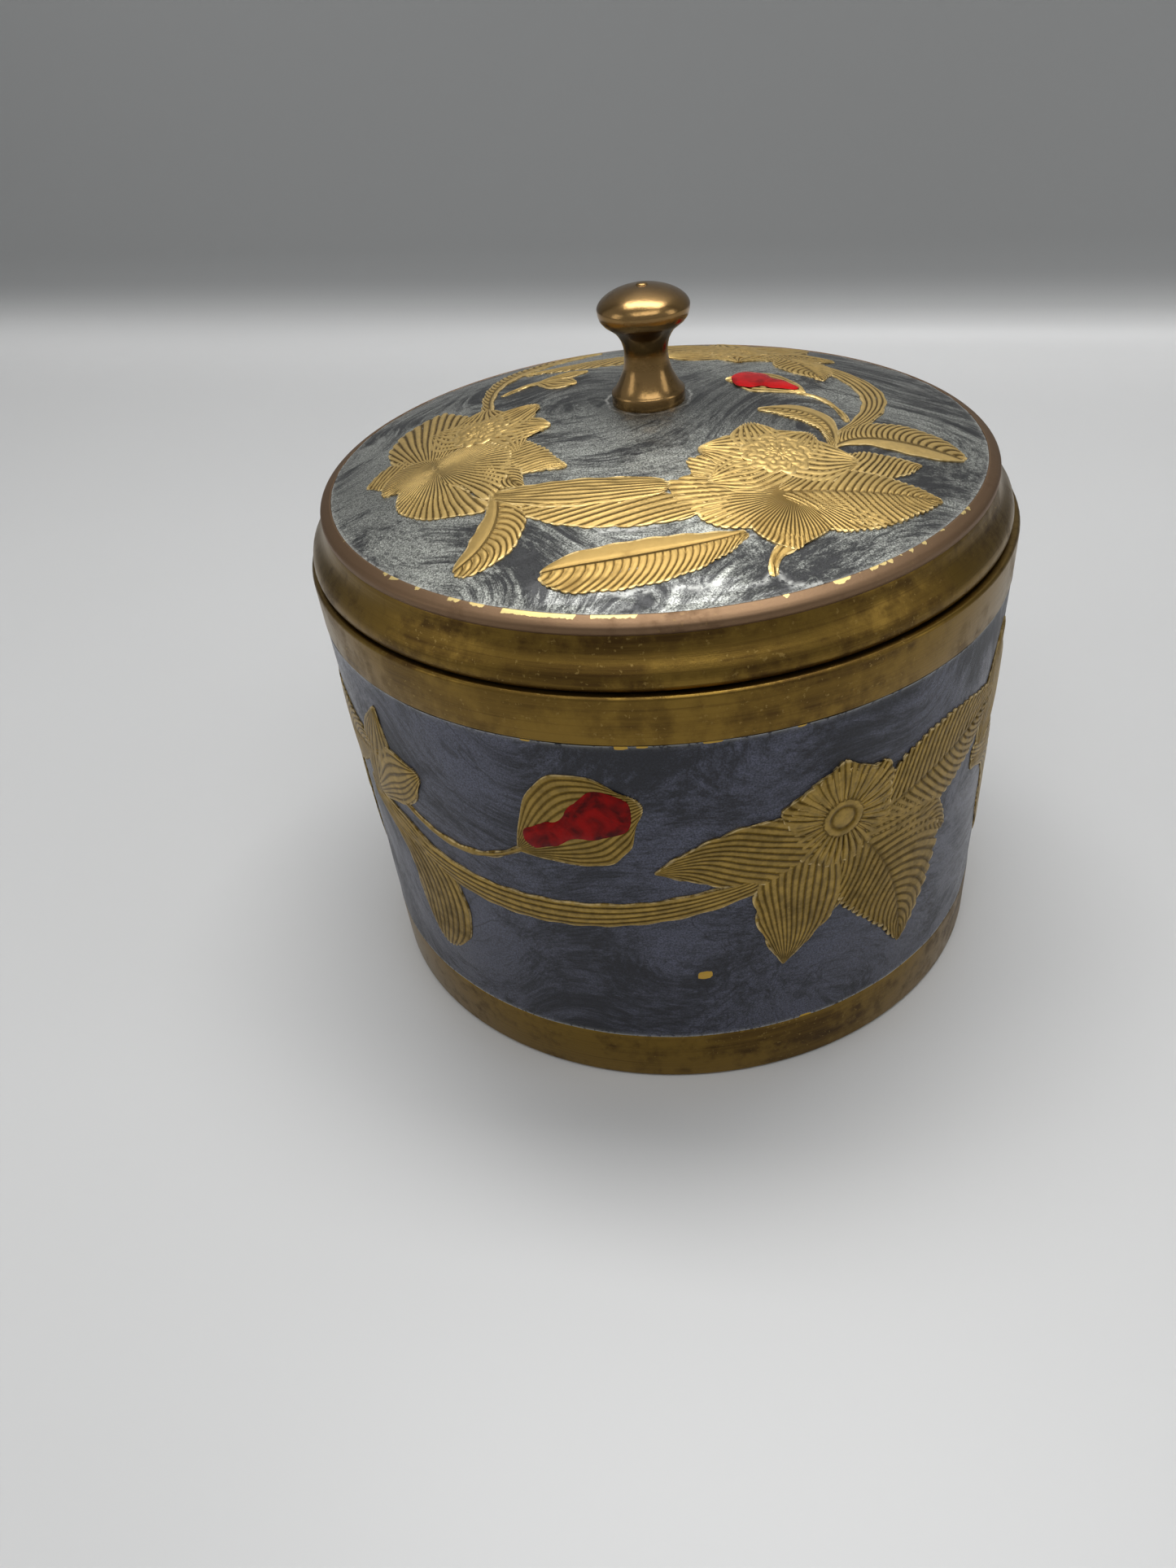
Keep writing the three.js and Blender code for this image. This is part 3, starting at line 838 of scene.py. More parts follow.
            row = ss ** 0.9 * rosette.scales + 0.18 * np.sin(aa * 5)
            place_round = (rosette.rays * 0.55) * aa / (2 * math.pi) + 0.5 * (np.floor(row) % 2)
            gap = np.maximum(self.groove(row), 0.7 * self.groove(place_round) * np.clip(ss * 3, 0, 1)) * 0.8
            level = foot + self.crown * (1 - ss ** 3) - 0.75 * self.vein_depth * gap
            vein = 0.5 - 0.5 * gap
            moat = gap * 0.6
        columns = sides + 1
        last = (len(share) - 1) * columns
        start = last + columns
        faces = [face[::-1] for face in grid_faces(len(share), columns)]
        faces += [(last + j, last + j + 1, start + j + 1, start + j) for j in range(sides)]
        self._add_relief(
            shell, (x, y, level), faces, list(range(last, start)), shade,
            vein=vein, rim=(1 - ss) * outer, rib=moat * 0.8)

    def drop(self, shell: Shell, leaf: Leaf, level: float, puff: float) -> None:
        """Adds a smooth drop of enamel in the outline of a leaf.

        Args:
            shell: where it is added.
            leaf: its outline.
            level: the height of its edge.
            puff: how far its middle stands above its edge.
        """
        rows, columns = 60, 25
        t = np.linspace(0, 1, rows)
        v = np.linspace(-1, 1, columns)
        centre, left = self.spine(leaf, t)
        bias = math.log(0.5) / math.log(leaf.peak)
        run = leaf.ends[0] * (1 - t) + leaf.ends[1] * t
        waist = 1 - 0.25 * np.exp(-((t - 0.42) / 0.12) ** 2)
        body = np.sqrt(np.clip(1 - (2 * t - 1) ** 8, 0.02, 1))
        half = (run + leaf.swell[0] * np.sin(math.pi * t ** bias)) * waist * body
        tt, vv = np.meshgrid(t, v, indexing="ij")
        wobble = 0.14 * np.sin(tt * 23 + 1.0) * vv
        flat = centre[:, None, :] + left[:, None, :] * (vv * half[:, None] + wobble)[..., None]
        height = level + puff * (1 - np.abs(vv) ** 3) * np.sin(math.pi * np.clip(tt, 0.02, 0.98)) ** 0.4
        points = self.ground.place(flat[..., 0].ravel(), flat[..., 1].ravel(), height.ravel())
        shell.add(points, grid_faces(rows, columns))


class Board:
    """A node tree with short calls to add and join nodes."""

    def __init__(self, tree: Tree) -> None:
        """Takes the tree that it works on."""
        self.tree = tree

    def node(self, kind: str, **settings: object) -> Node:
        """Adds a node.

        Args:
            kind: its type, without the common first part.
            settings: properties by name.

        Returns:
            The node.
        """
        node = self.tree.nodes.new("ShaderNode" + kind)
        for key, value in settings.items():
            setattr(node, key, value)
        return node

    def feed(self, socket: Socket, source: object) -> None:
        """Links a socket, or sets its value when the source is a number or colour."""
        if isinstance(source, Socket):
            self.tree.links.new(source, socket)
        elif isinstance(source, tuple) and len(source) == 3 and socket.type == "RGBA":
            socket.default_value = (*source, 1.0)
        else:
            socket.default_value = source

    def math(self, operation: str, *sources: object, clamp: bool = False) -> Socket:
        """Adds a math node and returns its output."""
        node = self.node("Math", operation=operation, use_clamp=clamp)
        for socket, source in zip(node.inputs, sources):
            self.feed(socket, source)
        return node.outputs[0]

    def mix(self, factor: object, one: object, other: object, blend: str = "MIX") -> Socket:
        """Adds a colour mix and returns its output."""
        node = self.node("Mix", data_type="RGBA", blend_type=blend)
        self.feed(node.inputs["Factor"], factor)
        self.feed(node.inputs[6], one)
        self.feed(node.inputs[7], other)
        return node.outputs[2]

    def times(self, one: object, other: object) -> Socket:
        """Multiplies two values and returns the output."""
        return self.math("MULTIPLY", one, other)

    def plus(self, one: object, other: object) -> Socket:
        """Adds two values and returns the output."""
        return self.math("ADD", one, other)

    def minus(self, one: object, other: object) -> Socket:
        """Takes the second value from the first and returns the output."""
        return self.math("SUBTRACT", one, other)

    def ramp(self, value: object, low: float, high: float, start: float = 0.0,
             end: float = 1.0) -> Socket:
        """Adds a smooth step from start to end and returns its output."""
        node = self.node("MapRange", interpolation_type="SMOOTHSTEP")
        for socket, source in zip(node.inputs, (value, low, high, start, end)):
            self.feed(socket, source)
        return node.outputs[0]

    def noise(self, place: object, scale: float, detail: float = 3.0, rough: float = 0.5,
              distortion: float = 0.0) -> Socket:
        """Adds a noise and returns its value."""
        node = self.node("TexNoise")
        self.feed(node.inputs["Vector"], place)
        node.inputs["Scale"].default_value = scale
        node.inputs["Detail"].default_value = detail
        node.inputs["Roughness"].default_value = rough
        node.inputs["Distortion"].default_value = distortion
        return node.outputs["Fac"]

    def stretched(self, place: object, scale: Colour) -> Socket:
        """Scales a place and returns it."""
        node = self.node("Mapping")
        self.feed(node.inputs["Vector"], place)
        node.inputs["Scale"].default_value = scale
        return node.outputs[0]

    def place(self) -> Socket:
        """The place on the object, in metres."""
        return self.node("TexCoord").outputs["Object"]

    def bump(self, shader: Node, height: object, strength: float, distance: float) -> None:
        """Tilts a shader's normal by a height.

        Args:
            shader: the shader.
            height: the value that is taken as height.
            strength: how much of it counts, up to 1.
            distance: metres for a height of 1.
        """
        node = self.node("Bump")
        node.inputs["Strength"].default_value = strength
        node.inputs["Distance"].default_value = distance
        self.feed(node.inputs["Height"], height)
        self.feed(shader.inputs["Normal"], node.outputs[0])

    def value(self, name: str) -> Socket:
        """Reads a point value of the mesh."""
        return self.node("Attribute", attribute_name=name).outputs["Fac"]

    def group(self, tree: Tree, **sources: object) -> Node:
        """Places a node group and feeds its inputs."""
        node = self.tree.nodes.new("ShaderNodeGroup")
        node.node_tree = tree
        for key, source in sources.items():
            self.feed(node.inputs[key], source)
        return node


class Effects:
    """The node groups that several finishes share."""

    stroke: Colour = (1.0, 4.2, 4.2)
    hair: Colour = (0.8, 7.0, 7.0)
    round_reach: float = 0.02

    def __init__(self) -> None:
        """Builds every group once."""
        self.polar = self._polar()
        self.lines = self._lines()
        self.patina = self._patina()
        self.swirl = self._swirl()

    @staticmethod
    def _new(name: str, inputs: dict[str, float], outputs: tuple[str, ...],
             kind: str = "NodeSocketFloat") -> tuple[Board, Node, Node]:
        """Starts a group.

        Args:
            name: its name.
            inputs: float inputs and their values.
            outputs: the names of its outputs.
            kind: their socket type.

        Returns:
            The board, the input node and the output node.
        """
        tree = bpy.data.node_groups.new(name, "ShaderNodeTree")
        for key, value in inputs.items():
            socket = tree.interface.new_socket(key, in_out="INPUT", socket_type="NodeSocketFloat")
            socket.default_value = value
        for key in outputs:
            tree.interface.new_socket(key, in_out="OUTPUT", socket_type=kind)
        board = Board(tree)
        return board, tree.nodes.new("NodeGroupInput"), tree.nodes.new("NodeGroupOutput")

    def _polar(self) -> Tree:
        """Places that change slowly round the axis and fast across it, for marks left by turning."""
        board, _, out = self._new("Turned places", {}, ("Place",), "NodeSocketVector")
        place = board.place()
        split = board.node("SeparateXYZ")
        board.feed(split.inputs[0], place)
        x, y, z = split.outputs
        radius = board.math("SQRT", board.plus(board.times(x, x), board.times(y, y)))
        angle = board.math("ARCTAN2", y, x)
        sine = board.times(board.math("SINE", angle), self.round_reach)
        cosine = board.times(board.math("COSINE", angle), self.round_reach)
        join = board.node("CombineXYZ")
        board.feed(join.inputs[0], board.plus(sine, radius))
        board.feed(join.inputs[1], cosine)
        board.feed(join.inputs[2], board.minus(z, board.times(radius, 0.6)))
        board.feed(out.inputs["Place"], join.outputs[0])
        return board.tree

    def _lines(self) -> Tree:
        """The dark grooves and the ridges between them."""
        board, into, out = self._new("Engraved lines", {"Line": 0.0, "Width": 0.3}, ("Groove", "Ridge"))
        part = board.math("FRACT", into.outputs["Line"])
        away = board.times(board.math("ABSOLUTE", board.minus(part, 0.5)), 2.0)
        start = board.minus(1.0, into.outputs["Width"])
        groove = board.ramp(away, start, 0.9)
        ridge = board.minus(1.0, board.math("POWER", away, 2.5))
        board.feed(out.inputs["Groove"], groove)
        board.feed(out.inputs["Ridge"], ridge)
        return board.tree

    def _patina(self) -> Tree:
        """Where brass is tarnished, its bright specks and its fine grain."""
        board, into, out = self._new("Patina", {"Amount": 0.5}, ("Tarnish", "Specks", "Fine"))
        place = board.place()
        wide = board.noise(place, 48, 5, 0.65)
        small = board.noise(place, 380, 5, 0.7)
        fine = board.noise(place, 2600, 2, 0.6)
        blend = board.plus(board.times(wide, 0.7), board.times(small, 0.3))
        low = board.minus(0.72, board.times(into.outputs["Amount"], 0.48))
        high = board.plus(low, 0.17)
        board.feed(out.inputs["Tarnish"], board.ramp(blend, low, high))
        board.feed(out.inputs["Specks"], board.ramp(board.noise(place, 1500, 2, 0.5), 0.64, 0.7))
        board.feed(out.inputs["Fine"], fine)
        return board.tree

    def _swirl(self) -> Tree:
        """Brushed swirls of pearl in enamel, with dark streaks and fine pits."""
        board, into, out = self._new("Enamel swirl", {"Size": 1.0}, ("Pearl", "Streak", "Pit", "Grain"))
        place = board.place()
        scaled = board.node("VectorMath", operation="SCALE")
        board.feed(scaled.inputs[0], place)
        board.feed(scaled.inputs["Scale"], into.outputs["Size"])
        place = scaled.outputs[0]
        warp = board.node("TexNoise")
        board.feed(warp.inputs["Vector"], place)
        warp.inputs["Scale"].default_value = 17
        warp.inputs["Detail"].default_value = 1.0
        shift = board.node("VectorMath", operation="SCALE")
        board.feed(shift.inputs[0], warp.outputs["Color"])
        shift.inputs["Scale"].default_value = 0.11
        bent = board.node("VectorMath", operation="ADD")
        board.feed(bent.inputs[0], place)
        board.feed(bent.inputs[1], shift.outputs[0])
        strokes = board.noise(board.stretched(bent.outputs[0], self.stroke), 48, 6, 0.65)
        hair = board.noise(board.stretched(bent.outputs[0], self.hair), 150, 8, 0.8)
        cloud = board.noise(place, 34, 3, 0.55)
        pearl = board.plus(board.times(strokes, 0.28), board.times(hair, 0.4))
        pearl = board.plus(pearl, board.times(cloud, 0.32))
        dark = board.noise(bent.outputs[0], 70, 3, 0.5, 0.8)
        ridge = board.math("ABSOLUTE", board.minus(dark, 0.5))
        line = board.ramp(ridge, 0.0, 0.02, 1.0, 0.0)
        sparse = board.ramp(board.noise(place, 40, 2, 0.5), 0.48, 0.6)
        board.feed(out.inputs["Pearl"], board.ramp(pearl, 0.4, 0.6))
        board.feed(out.inputs["Streak"], board.times(line, sparse))
        board.feed(out.inputs["Pit"], board.ramp(board.noise(place, 2300, 1, 0.4), 0.70, 0.76))
        board.feed(out.inputs["Grain"], board.noise(place, 3600, 2, 0.6))
        return board.tree


def start_material(name: str) -> tuple[Material, Board, Node]:
    """Makes a material with one Principled shader.

    Args:
        name: its name.

    Returns:
        The material, its board and its shader.
    """
    material = bpy.data.materials.new(name)
    material.use_nodes = True
    board = Board(material.node_tree)
    return material, board, material.node_tree.nodes["Principled BSDF"]


@dataclass(frozen=True)
class BrassFinish:
    """Aged brass, plain, turned or engraved.

    Attributes:
        name: the material's name.
        bright: the colour of clean brass.
        tarnish: the colour of tarnished brass.
        amount: how much of it is tarnished.
        roughness: the roughness of clean brass.
        engraved: whether the mesh carries engraved lines.
        turning: how strong the marks of turning are.
        spread: how much rougher tarnished brass is.
        groove: the colour in a groove.
        crest_mix: how bright a ridge is, a painted highlight on brass partly rubbed bright.
        edge: the colour of a rubbed edge.
        groove_mix: how dark a groove is.
        edge_mix: how bright an edge is.
        metallic: how metallic it is.
        speck: the colour of its specks.
        mottle: how uneven its tone is.
        shading: how much the mesh's shade value darkens it.
    """

    name: str
    bright: Colour
    tarnish: Colour
    amount: float
    roughness: float
    engraved: bool = False
    turning: float = 0.0
    spread: float = 0.14
    groove: Colour = (0.045, 0.026, 0.009)
    crest_mix: float = 0.25
    edge: Colour = (0.9, 0.72, 0.4)
    groove_mix: float = 0.8
    edge_mix: float = 0.8
    metallic: float = 1.0
    speck: Colour = (0.6, 0.42, 0.14)
    mottle: float = 0.3
    shading: float = 0.35

    def build(self, effects: Effects) -> Material:
        """Builds the material.

        Args:
            effects: the shared node groups.

        Returns:
            The material.
        """
        material, board, shader = start_material(self.name)
        patina = board.group(effects.patina, Amount=self.amount)
        aged = patina.outputs["Tarnish"]
        place = board.group(effects.polar).outputs["Place"] if self.turning > 0 else None
        tarnish: object = aged
        if self.turning > 0:
            streaks = board.noise(board.stretched(place, (2.0, 2.0, 14.0)), 16, 5, 0.65)
            tarnish = board.times(tarnish, board.ramp(streaks, 0.38, 0.6, 0.4, 1.0))
        # Painted shade on the knob: its neck and the underside of its bulb are pushed towards the tarnish
        # colour.
        tarnish = board.math("MAXIMUM", tarnish, board.value("dull"))
        colour = board.mix(tarnish, self.bright, self.tarnish)
        specks = board.times(patina.outputs["Specks"], board.ramp(aged, 0.0, 1.0, 0.04, 0.28))
        colour = board.mix(specks, colour, self.speck)
        roughness: object = board.ramp(aged, 0.0, 1.0, self.roughness, self.roughness + self.spread)
        height: object = board.times(patina.outputs["Fine"], 0.12)
        if self.engraved:
            lines = board.group(effects.lines, Line=board.value("vein"), Width=0.62)
            colour = self._engraved_colour(board, lines, patina.outputs["Fine"], colour)
            height = board.plus(height, board.times(lines.outputs["Ridge"], 0.9))
        if self.turning > 0:
            marks = board.noise(board.stretched(place, (3.0, 3.0, 160.0)), 22, 4, 0.7)
            broad = board.noise(board.stretched(place, (4.0, 4.0, 30.0)), 14, 3, 0.6)
            colour = board.mix(board.ramp(broad, 0.45, 0.68, 0.0, 0.55), colour, self.bright)
            dark = board.times(board.ramp(marks, 0.5, 0.72), self.turning)
            colour = board.mix(dark, colour, self.tarnish)
            height = board.plus(height, board.times(marks, self.turning * 0.35))
            roughness = board.plus(roughness, board.times(marks, 0.06))
        board.feed(shader.inputs["Base Color"], colour)
        board.feed(shader.inputs["Roughness"], roughness)
        shader.inputs["Metallic"].default_value = self.metallic
        board.bump(shader, height, 0.7, 0.0002)
        return material

    def _engraved_colour(self, board: Board, lines: Node, fine: Socket,
                         colour: object) -> Socket:
        """Adds grooves, crests with a painted highlight, shade and a bright edge to the colour.

        Args:
            board: the material's board.
            lines: the group that gives the grooves and ridges.
            fine: the fine grain of the brass.
            colour: the colour so far.

        Returns:
            The new colour.
        """
        mottle = board.noise(board.place(), 620, 4, 0.7)
        tone = board.ramp(mottle, 0.32, 0.68, 1 - self.mottle, 1 + self.mottle)
        colour = board.mix(1.0, colour, tone, "MULTIPLY")
        # Painted highlight on the ridges, partly brass rubbed bright there.
        crest = board.times(board.ramp(lines.outputs["Ridge"], 0.6, 1.0), self.crest_mix)
        colour = board.mix(crest, colour, self.edge)
        deep = board.math("MAXIMUM", lines.outputs["Groove"], board.value("rib"), clamp=True)
        uneven = board.ramp(fine, 0.25, 0.7, 1.0, 0.7)
        cut = board.times(board.times(deep, uneven), self.groove_mix)
        colour = board.mix(cut, colour, self.groove)
        # The shade value pushes towards the tarnish colour: random tone on the body, painted shade on the
        # lid's front leaves.
        colour = board.mix(board.times(board.value("shade"), self.shading), colour, self.tarnish)
        edge = board.ramp(board.value("rim"), 0.12, 0.38, self.edge_mix, 0.0)
        broken = board.ramp(board.noise(board.place(), 900, 2, 0.6), 0.35, 0.6)
        return board.mix(board.times(edge, broken), colour, self.edge)


@dataclass(frozen=True)
class RingFinish(BrassFinish):
    """Smooth reddish brass with bright flecks where the tarnish is chipped off."""

    fleck: Colour = (0.72, 0.56, 0.24)

    def build(self, effects: Effects) -> Material:
        """Builds the material.

        Args:
            effects: the shared node groups.

        Returns:
            The material.
        """
        material = super().build(effects)
        board = Board(material.node_tree)
        shader = material.node_tree.nodes["Principled BSDF"]
        colour = shader.inputs["Base Color"].links[0].from_socket
        broken = board.times(board.noise(board.place(), 700, 3, 0.6), 0.9)
        mask = board.ramp(board.plus(board.value("fleck"), broken), 0.88, 0.94)
        board.feed(shader.inputs["Base Color"], board.mix(mask, colour, self.fleck))
        return material


@dataclass(frozen=True)
class EnamelFinish:
    """Pearly brushed enamel under a gloss.

    Attributes:
        name: the material's name.
        dark: its dark colour.
        light: its pearly colour.
        streak: the colour of dark streaks and pits.
        size: how fine the swirls are.
        line: the colour of pale glints and of the rim.
        coat: the strength of the gloss.
        coat_roughness: the roughness of the gloss.
        fleck: the colour of brass chips in it.
        contrast: how much of the pearl's range is cut at both ends.
        sparkle: how strong the grain is.
    """

    name: str
    dark: Colour
    light: Colour
    streak: Colour
    size: float = 1.0
    # line: the colour of the painted glints, which stand for highlights, and of the pale rims.
    line: Colour = (0.6, 0.6, 0.56)
    coat: float = 0.25
    coat_roughness: float = 0.16
    fleck: Colour = (0.5, 0.3, 0.03)
    contrast: float = 0.03
    sparkle: float = 1.5

    def build(self, effects: Effects) -> Material:
        """Builds the material.

        Args:
            effects: the shared node groups.

        Returns:
            The material.
        """
        material, board, shader = start_material(self.name)
        swirl = board.group(effects.swirl, Size=self.size)
        pearl = board.ramp(swirl.outputs["Pearl"], self.contrast, 1 - self.contrast)
        colour = board.mix(pearl, self.dark, self.light)
        # Painted shade, where the mesh carries it: pushes the colour towards the dark enamel colour.
        colour = board.mix(board.value("dim"), colour, self.dark)
        colour = board.mix(board.times(swirl.outputs["Streak"], 0.55), colour, self.streak)
        colour = board.mix(board.times(swirl.outputs["Pit"], 0.6), colour, self.streak)
        grain = board.ramp(swirl.outputs["Grain"], 0.3, 0.7, 2.1 - self.sparkle, self.sparkle)
        colour = board.mix(1.0, colour, grain, "MULTIPLY")
        broken = board.noise(board.place(), 1300, 2, 0.6)
        # Painted highlights as pale glint strokes, and pale rims along the enamel's edges, broken by noise.
        milk = board.times(board.value("milk"), board.ramp(broken, 0.36, 0.5))
        colour = board.mix(milk, colour, self.line)
        chip = board.plus(board.value("fleck"), board.times(broken, 0.3))
        colour = board.mix(board.ramp(chip, 0.6, 0.66), colour, self.fleck)
        board.feed(shader.inputs["Base Color"], colour)
        board.feed(shader.inputs["Roughness"], board.ramp(swirl.outputs["Pearl"], 0.0, 1.0, 0.5, 0.36))
        board.feed(shader.inputs["Metallic"], board.ramp(swirl.outputs["Pearl"], 0.0, 1.0, 0.2, 0.7))
        board.feed(shader.inputs["Coat Weight"], board.ramp(pearl, 0.0, 0.8, self.coat * 0.25, self.coat))
        shader.inputs["Coat Roughness"].default_value = self.coat_roughness
        board.bump(shader, board.minus(swirl.outputs["Pearl"], swirl.outputs["Pit"]), 0.5, 0.0001)
        return material


@dataclass(frozen=True)
class RedFinish:
    """Clear red enamel.

    Attributes:
        name: the material's name.
        deep: its dark colour.
        lit: its bright colour.
    """

    name: str
    deep: Colour
    lit: Colour

    def build(self, effects: Effects) -> Material:
        """Builds the material.

        Args:
            effects: the shared node groups.

        Returns:
            The material.
        """
        material, board, shader = start_material(self.name)
        patina = board.group(effects.patina, Amount=0.5)
        depth = board.noise(board.place(), 260, 3, 0.6, 0.5)
        colour = board.mix(board.ramp(depth, 0.3, 0.66), self.deep, self.lit)
        board.feed(shader.inputs["Base Color"], colour)
        board.feed(shader.inputs["Roughness"], board.ramp(patina.outputs["Fine"], 0.0, 1.0, 0.12, 0.22))
        shader.inputs["Specular IOR Level"].default_value = 0.1
        board.bump(shader, depth, 0.3, 0.0001)
        return material


class Finishes:
    """Every finish of the box, built once."""

    def __init__(self) -> None:
        """Builds the shared effects and the materials."""
        effects = Effects()
        self.cast = BrassFinish(
            "cast brass", (0.215, 0.132, 0.028), (0.07, 0.038, 0.012), 0.58, 0.28, turning=0.4).build(effects)
        self.ring = RingFinish(
            "ring brass", (0.215, 0.135, 0.078), (0.14, 0.082, 0.045), 0.4, 0.46, turning=0.1).build(effects)
        self.knob = BrassFinish(
            "knob brass", (0.31, 0.19, 0.075), (0.06, 0.036, 0.01), 0.45, 0.18, turning=0.1).build(effects)
        self.body_scroll = BrassFinish(
            "engraved brass of the body", (0.29, 0.185, 0.036), (0.15, 0.095, 0.02), 0.5, 0.42,
            engraved=True, crest_mix=0.1, edge_mix=0.4).build(effects)
        self.lid_scroll = BrassFinish(
            "engraved brass of the lid", (0.56, 0.38, 0.122), (0.3, 0.185, 0.048), 0.45, 0.46,
            engraved=True, groove_mix=1.0, edge_mix=0.85, metallic=0.85, mottle=0.14,
            edge=(0.84, 0.64, 0.3), shading=0.75).build(effects)
        self.blue = EnamelFinish(
            "blue grey enamel", (0.009, 0.01, 0.016), (0.066, 0.07, 0.1),
            (0.004, 0.004, 0.008)).build(effects)
        self.grey = EnamelFinish(
            "silver grey enamel", (0.014, 0.0145, 0.0155), (0.33, 0.338, 0.305), (0.006, 0.006, 0.007),
            1.1, coat=0.55, coat_roughness=0.07, contrast=0.08, sparkle=1.85).build(effects)
        # One red enamel built twice: a darker copy on the body's wall as painted shade, a brighter copy on
        # the lid as painted light from above.
        self.body_red_painted_shade = RedFinish(
            "red enamel of the body with painted shade", (0.05, 0.0004, 0.0002), (0.26, 0.0015, 0.0005)).build(effects)
        self.lid_red_painted_light = RedFinish(
            "red enamel of the lid with painted light", (0.22, 0.002, 0.003), (0.5, 0.005, 0.006)).build(effects)


@dataclass
class BoxBody:
    """The body: brass wall, enamel band, scroll and red drops.

    Each fleck is a chip of brass in the enamel: its place, half width and half height.
    """

    finishes: Finishes
    wall: BodyWall = field(default_factory=BodyWall)
    thickness: float = 2.6
    floor: float = 2.8
    enamel_level: float = -0.16
    ground: float = 0.85
    sides: int = 144
    fine_sides: int = 480
    repeats: int = 3
    flecks: tuple[tuple[Pair, float, float], ...] = (
        ((-87.0, 25.4), 1.3, 0.95), ((-97.0, 72.7), 1.1, 0.5), ((-94.0, 72.8), 0.9, 0.35),
        ((-110.5, 72.8), 0.8, 0.3), ((-84.5, 72.8), 1.5, 0.3), ((-72.0, 72.8), 0.8, 0.3),
        ((-70.0, 10.7), 1.2, 0.3),
    )

    def build(self) -> None:
        """Builds every piece of the body."""
        self._shell()
        self._enamel()
        for index in range(self.repeats):
            self._scroll(index)

    def _shell(self) -> None:
        """The turned brass, with the ground sunk for the enamel."""
        wall = self.wall
        low, high = wall.field_low, wall.field_high
        outer = softened([
            (0.0, 0.25),
            (40.0, 0.25),
            (41.0, 0.0),
            (wall.base_radius - 0.5, 0.0),
            (wall.radius(0.5), 0.5),
            (wall.radius(low), low),
            (wall.radius(low) - self.ground, low + 0.05),
            (wall.radius(high) - self.ground, high - 0.05),
            (wall.radius(high), high),
            (wall.radius(wall.height - 0.35), wall.height - 0.35),
            (wall.top_radius - 0.35, wall.height),
            (wall.top_radius - self.thickness, wall.height),
            (wall.radius(self.floor + 2) - self.thickness, self.floor + 2),
            (wall.radius(self.floor) - self.thickness - 2, self.floor),
            (0.0, self.floor),
        ], 0.25)
        shell = Shell()
        turned(outer, self.sides, shell)
        thing = shell.build("body_brass", "root", "brass", self.finishes.cast, 35)
        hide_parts("box_body")

    def _enamel(self) -> None:
        """The enamel band that fills the sunk ground."""
        wall = self.wall
        close = np.array([0.02, 0.15, 0.3, 0.5, 0.8])
        rows = np.concatenate([
            wall.field_low + close,
            np.linspace(wall.field_low + 1.3, wall.field_high - 1.3, 82),
            (wall.field_high - close)[::-1],
        ])
        angle = np.linspace(0, 360, self.fine_sides, endpoint=False)
        aa, zz = np.meshgrid(angle, rows, indexing="xy")
        edge = np.minimum(zz - wall.field_low, wall.field_high - zz)
        wave = (
            np.sin(np.radians(aa * 7) + zz * 0.21)
            + np.sin(np.radians(aa * 13) - zz * 0.37 + 1)
            + np.sin(np.radians(aa * 29) + zz * 0.11 + 2)
        ) / 3
        depth = self.enamel_level + 0.07 * wave + 0.12 * np.exp(-edge / 0.5)
        points = wall.place((aa * wall.scale).ravel(), zz.ravel(), depth.ravel())
        shell = Shell()
        # Pale rims along the band's top and bottom edges.
        milk = 0.55 * np.exp(-edge / 0.22)
        chips = np.zeros_like(zz)
        for (turn, height), wide, tall in self.flecks:
            away = ((aa - turn + 180) % 360 - 180) * wall.scale
            chips = np.maximum(chips, np.exp(-(away / wide) ** 4 - ((zz - height) / tall) ** 4))
        faces = grid_faces(len(rows), self.fine_sides, wrap=True)
        shell.add(points, faces, milk=milk.ravel(), fleck=chips.ravel())
        thing = shell.build("body_enamel", "root", "blue_enamel", self.finishes.blue)
        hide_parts("body_enamel_low", "body_enamel_high")

    def _scroll(self, index: int) -> None:
        """One repeat of the engraved scroll with its red drop.

        Args:
            index: which of the repeats.
        """
        wall = BodyWall(turn=index * 360 / self.repeats)
        carver = Carver(wall)
        shell = Shell()
        for number, leaf in enumerate(BODY_LEAVES.values()):
            carver.leaf(shell, leaf, (number * 0.37) % 1)
        carver.rosette(shell, BODY_ROSETTE, 0.3)
        shell.build(f"body_scroll_{index + 1}", "root", "brass", self.finishes.body_scroll, 55)
        drops = Shell()
        carver.drop(drops, BODY_DROP, 0.2, 0.3)
        thing = drops.build(f"body_drop_{index + 1}", "root", "red_enamel", self.finishes.body_red_painted_shade)
        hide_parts(f"body_bud_enamel_{index + 1}")


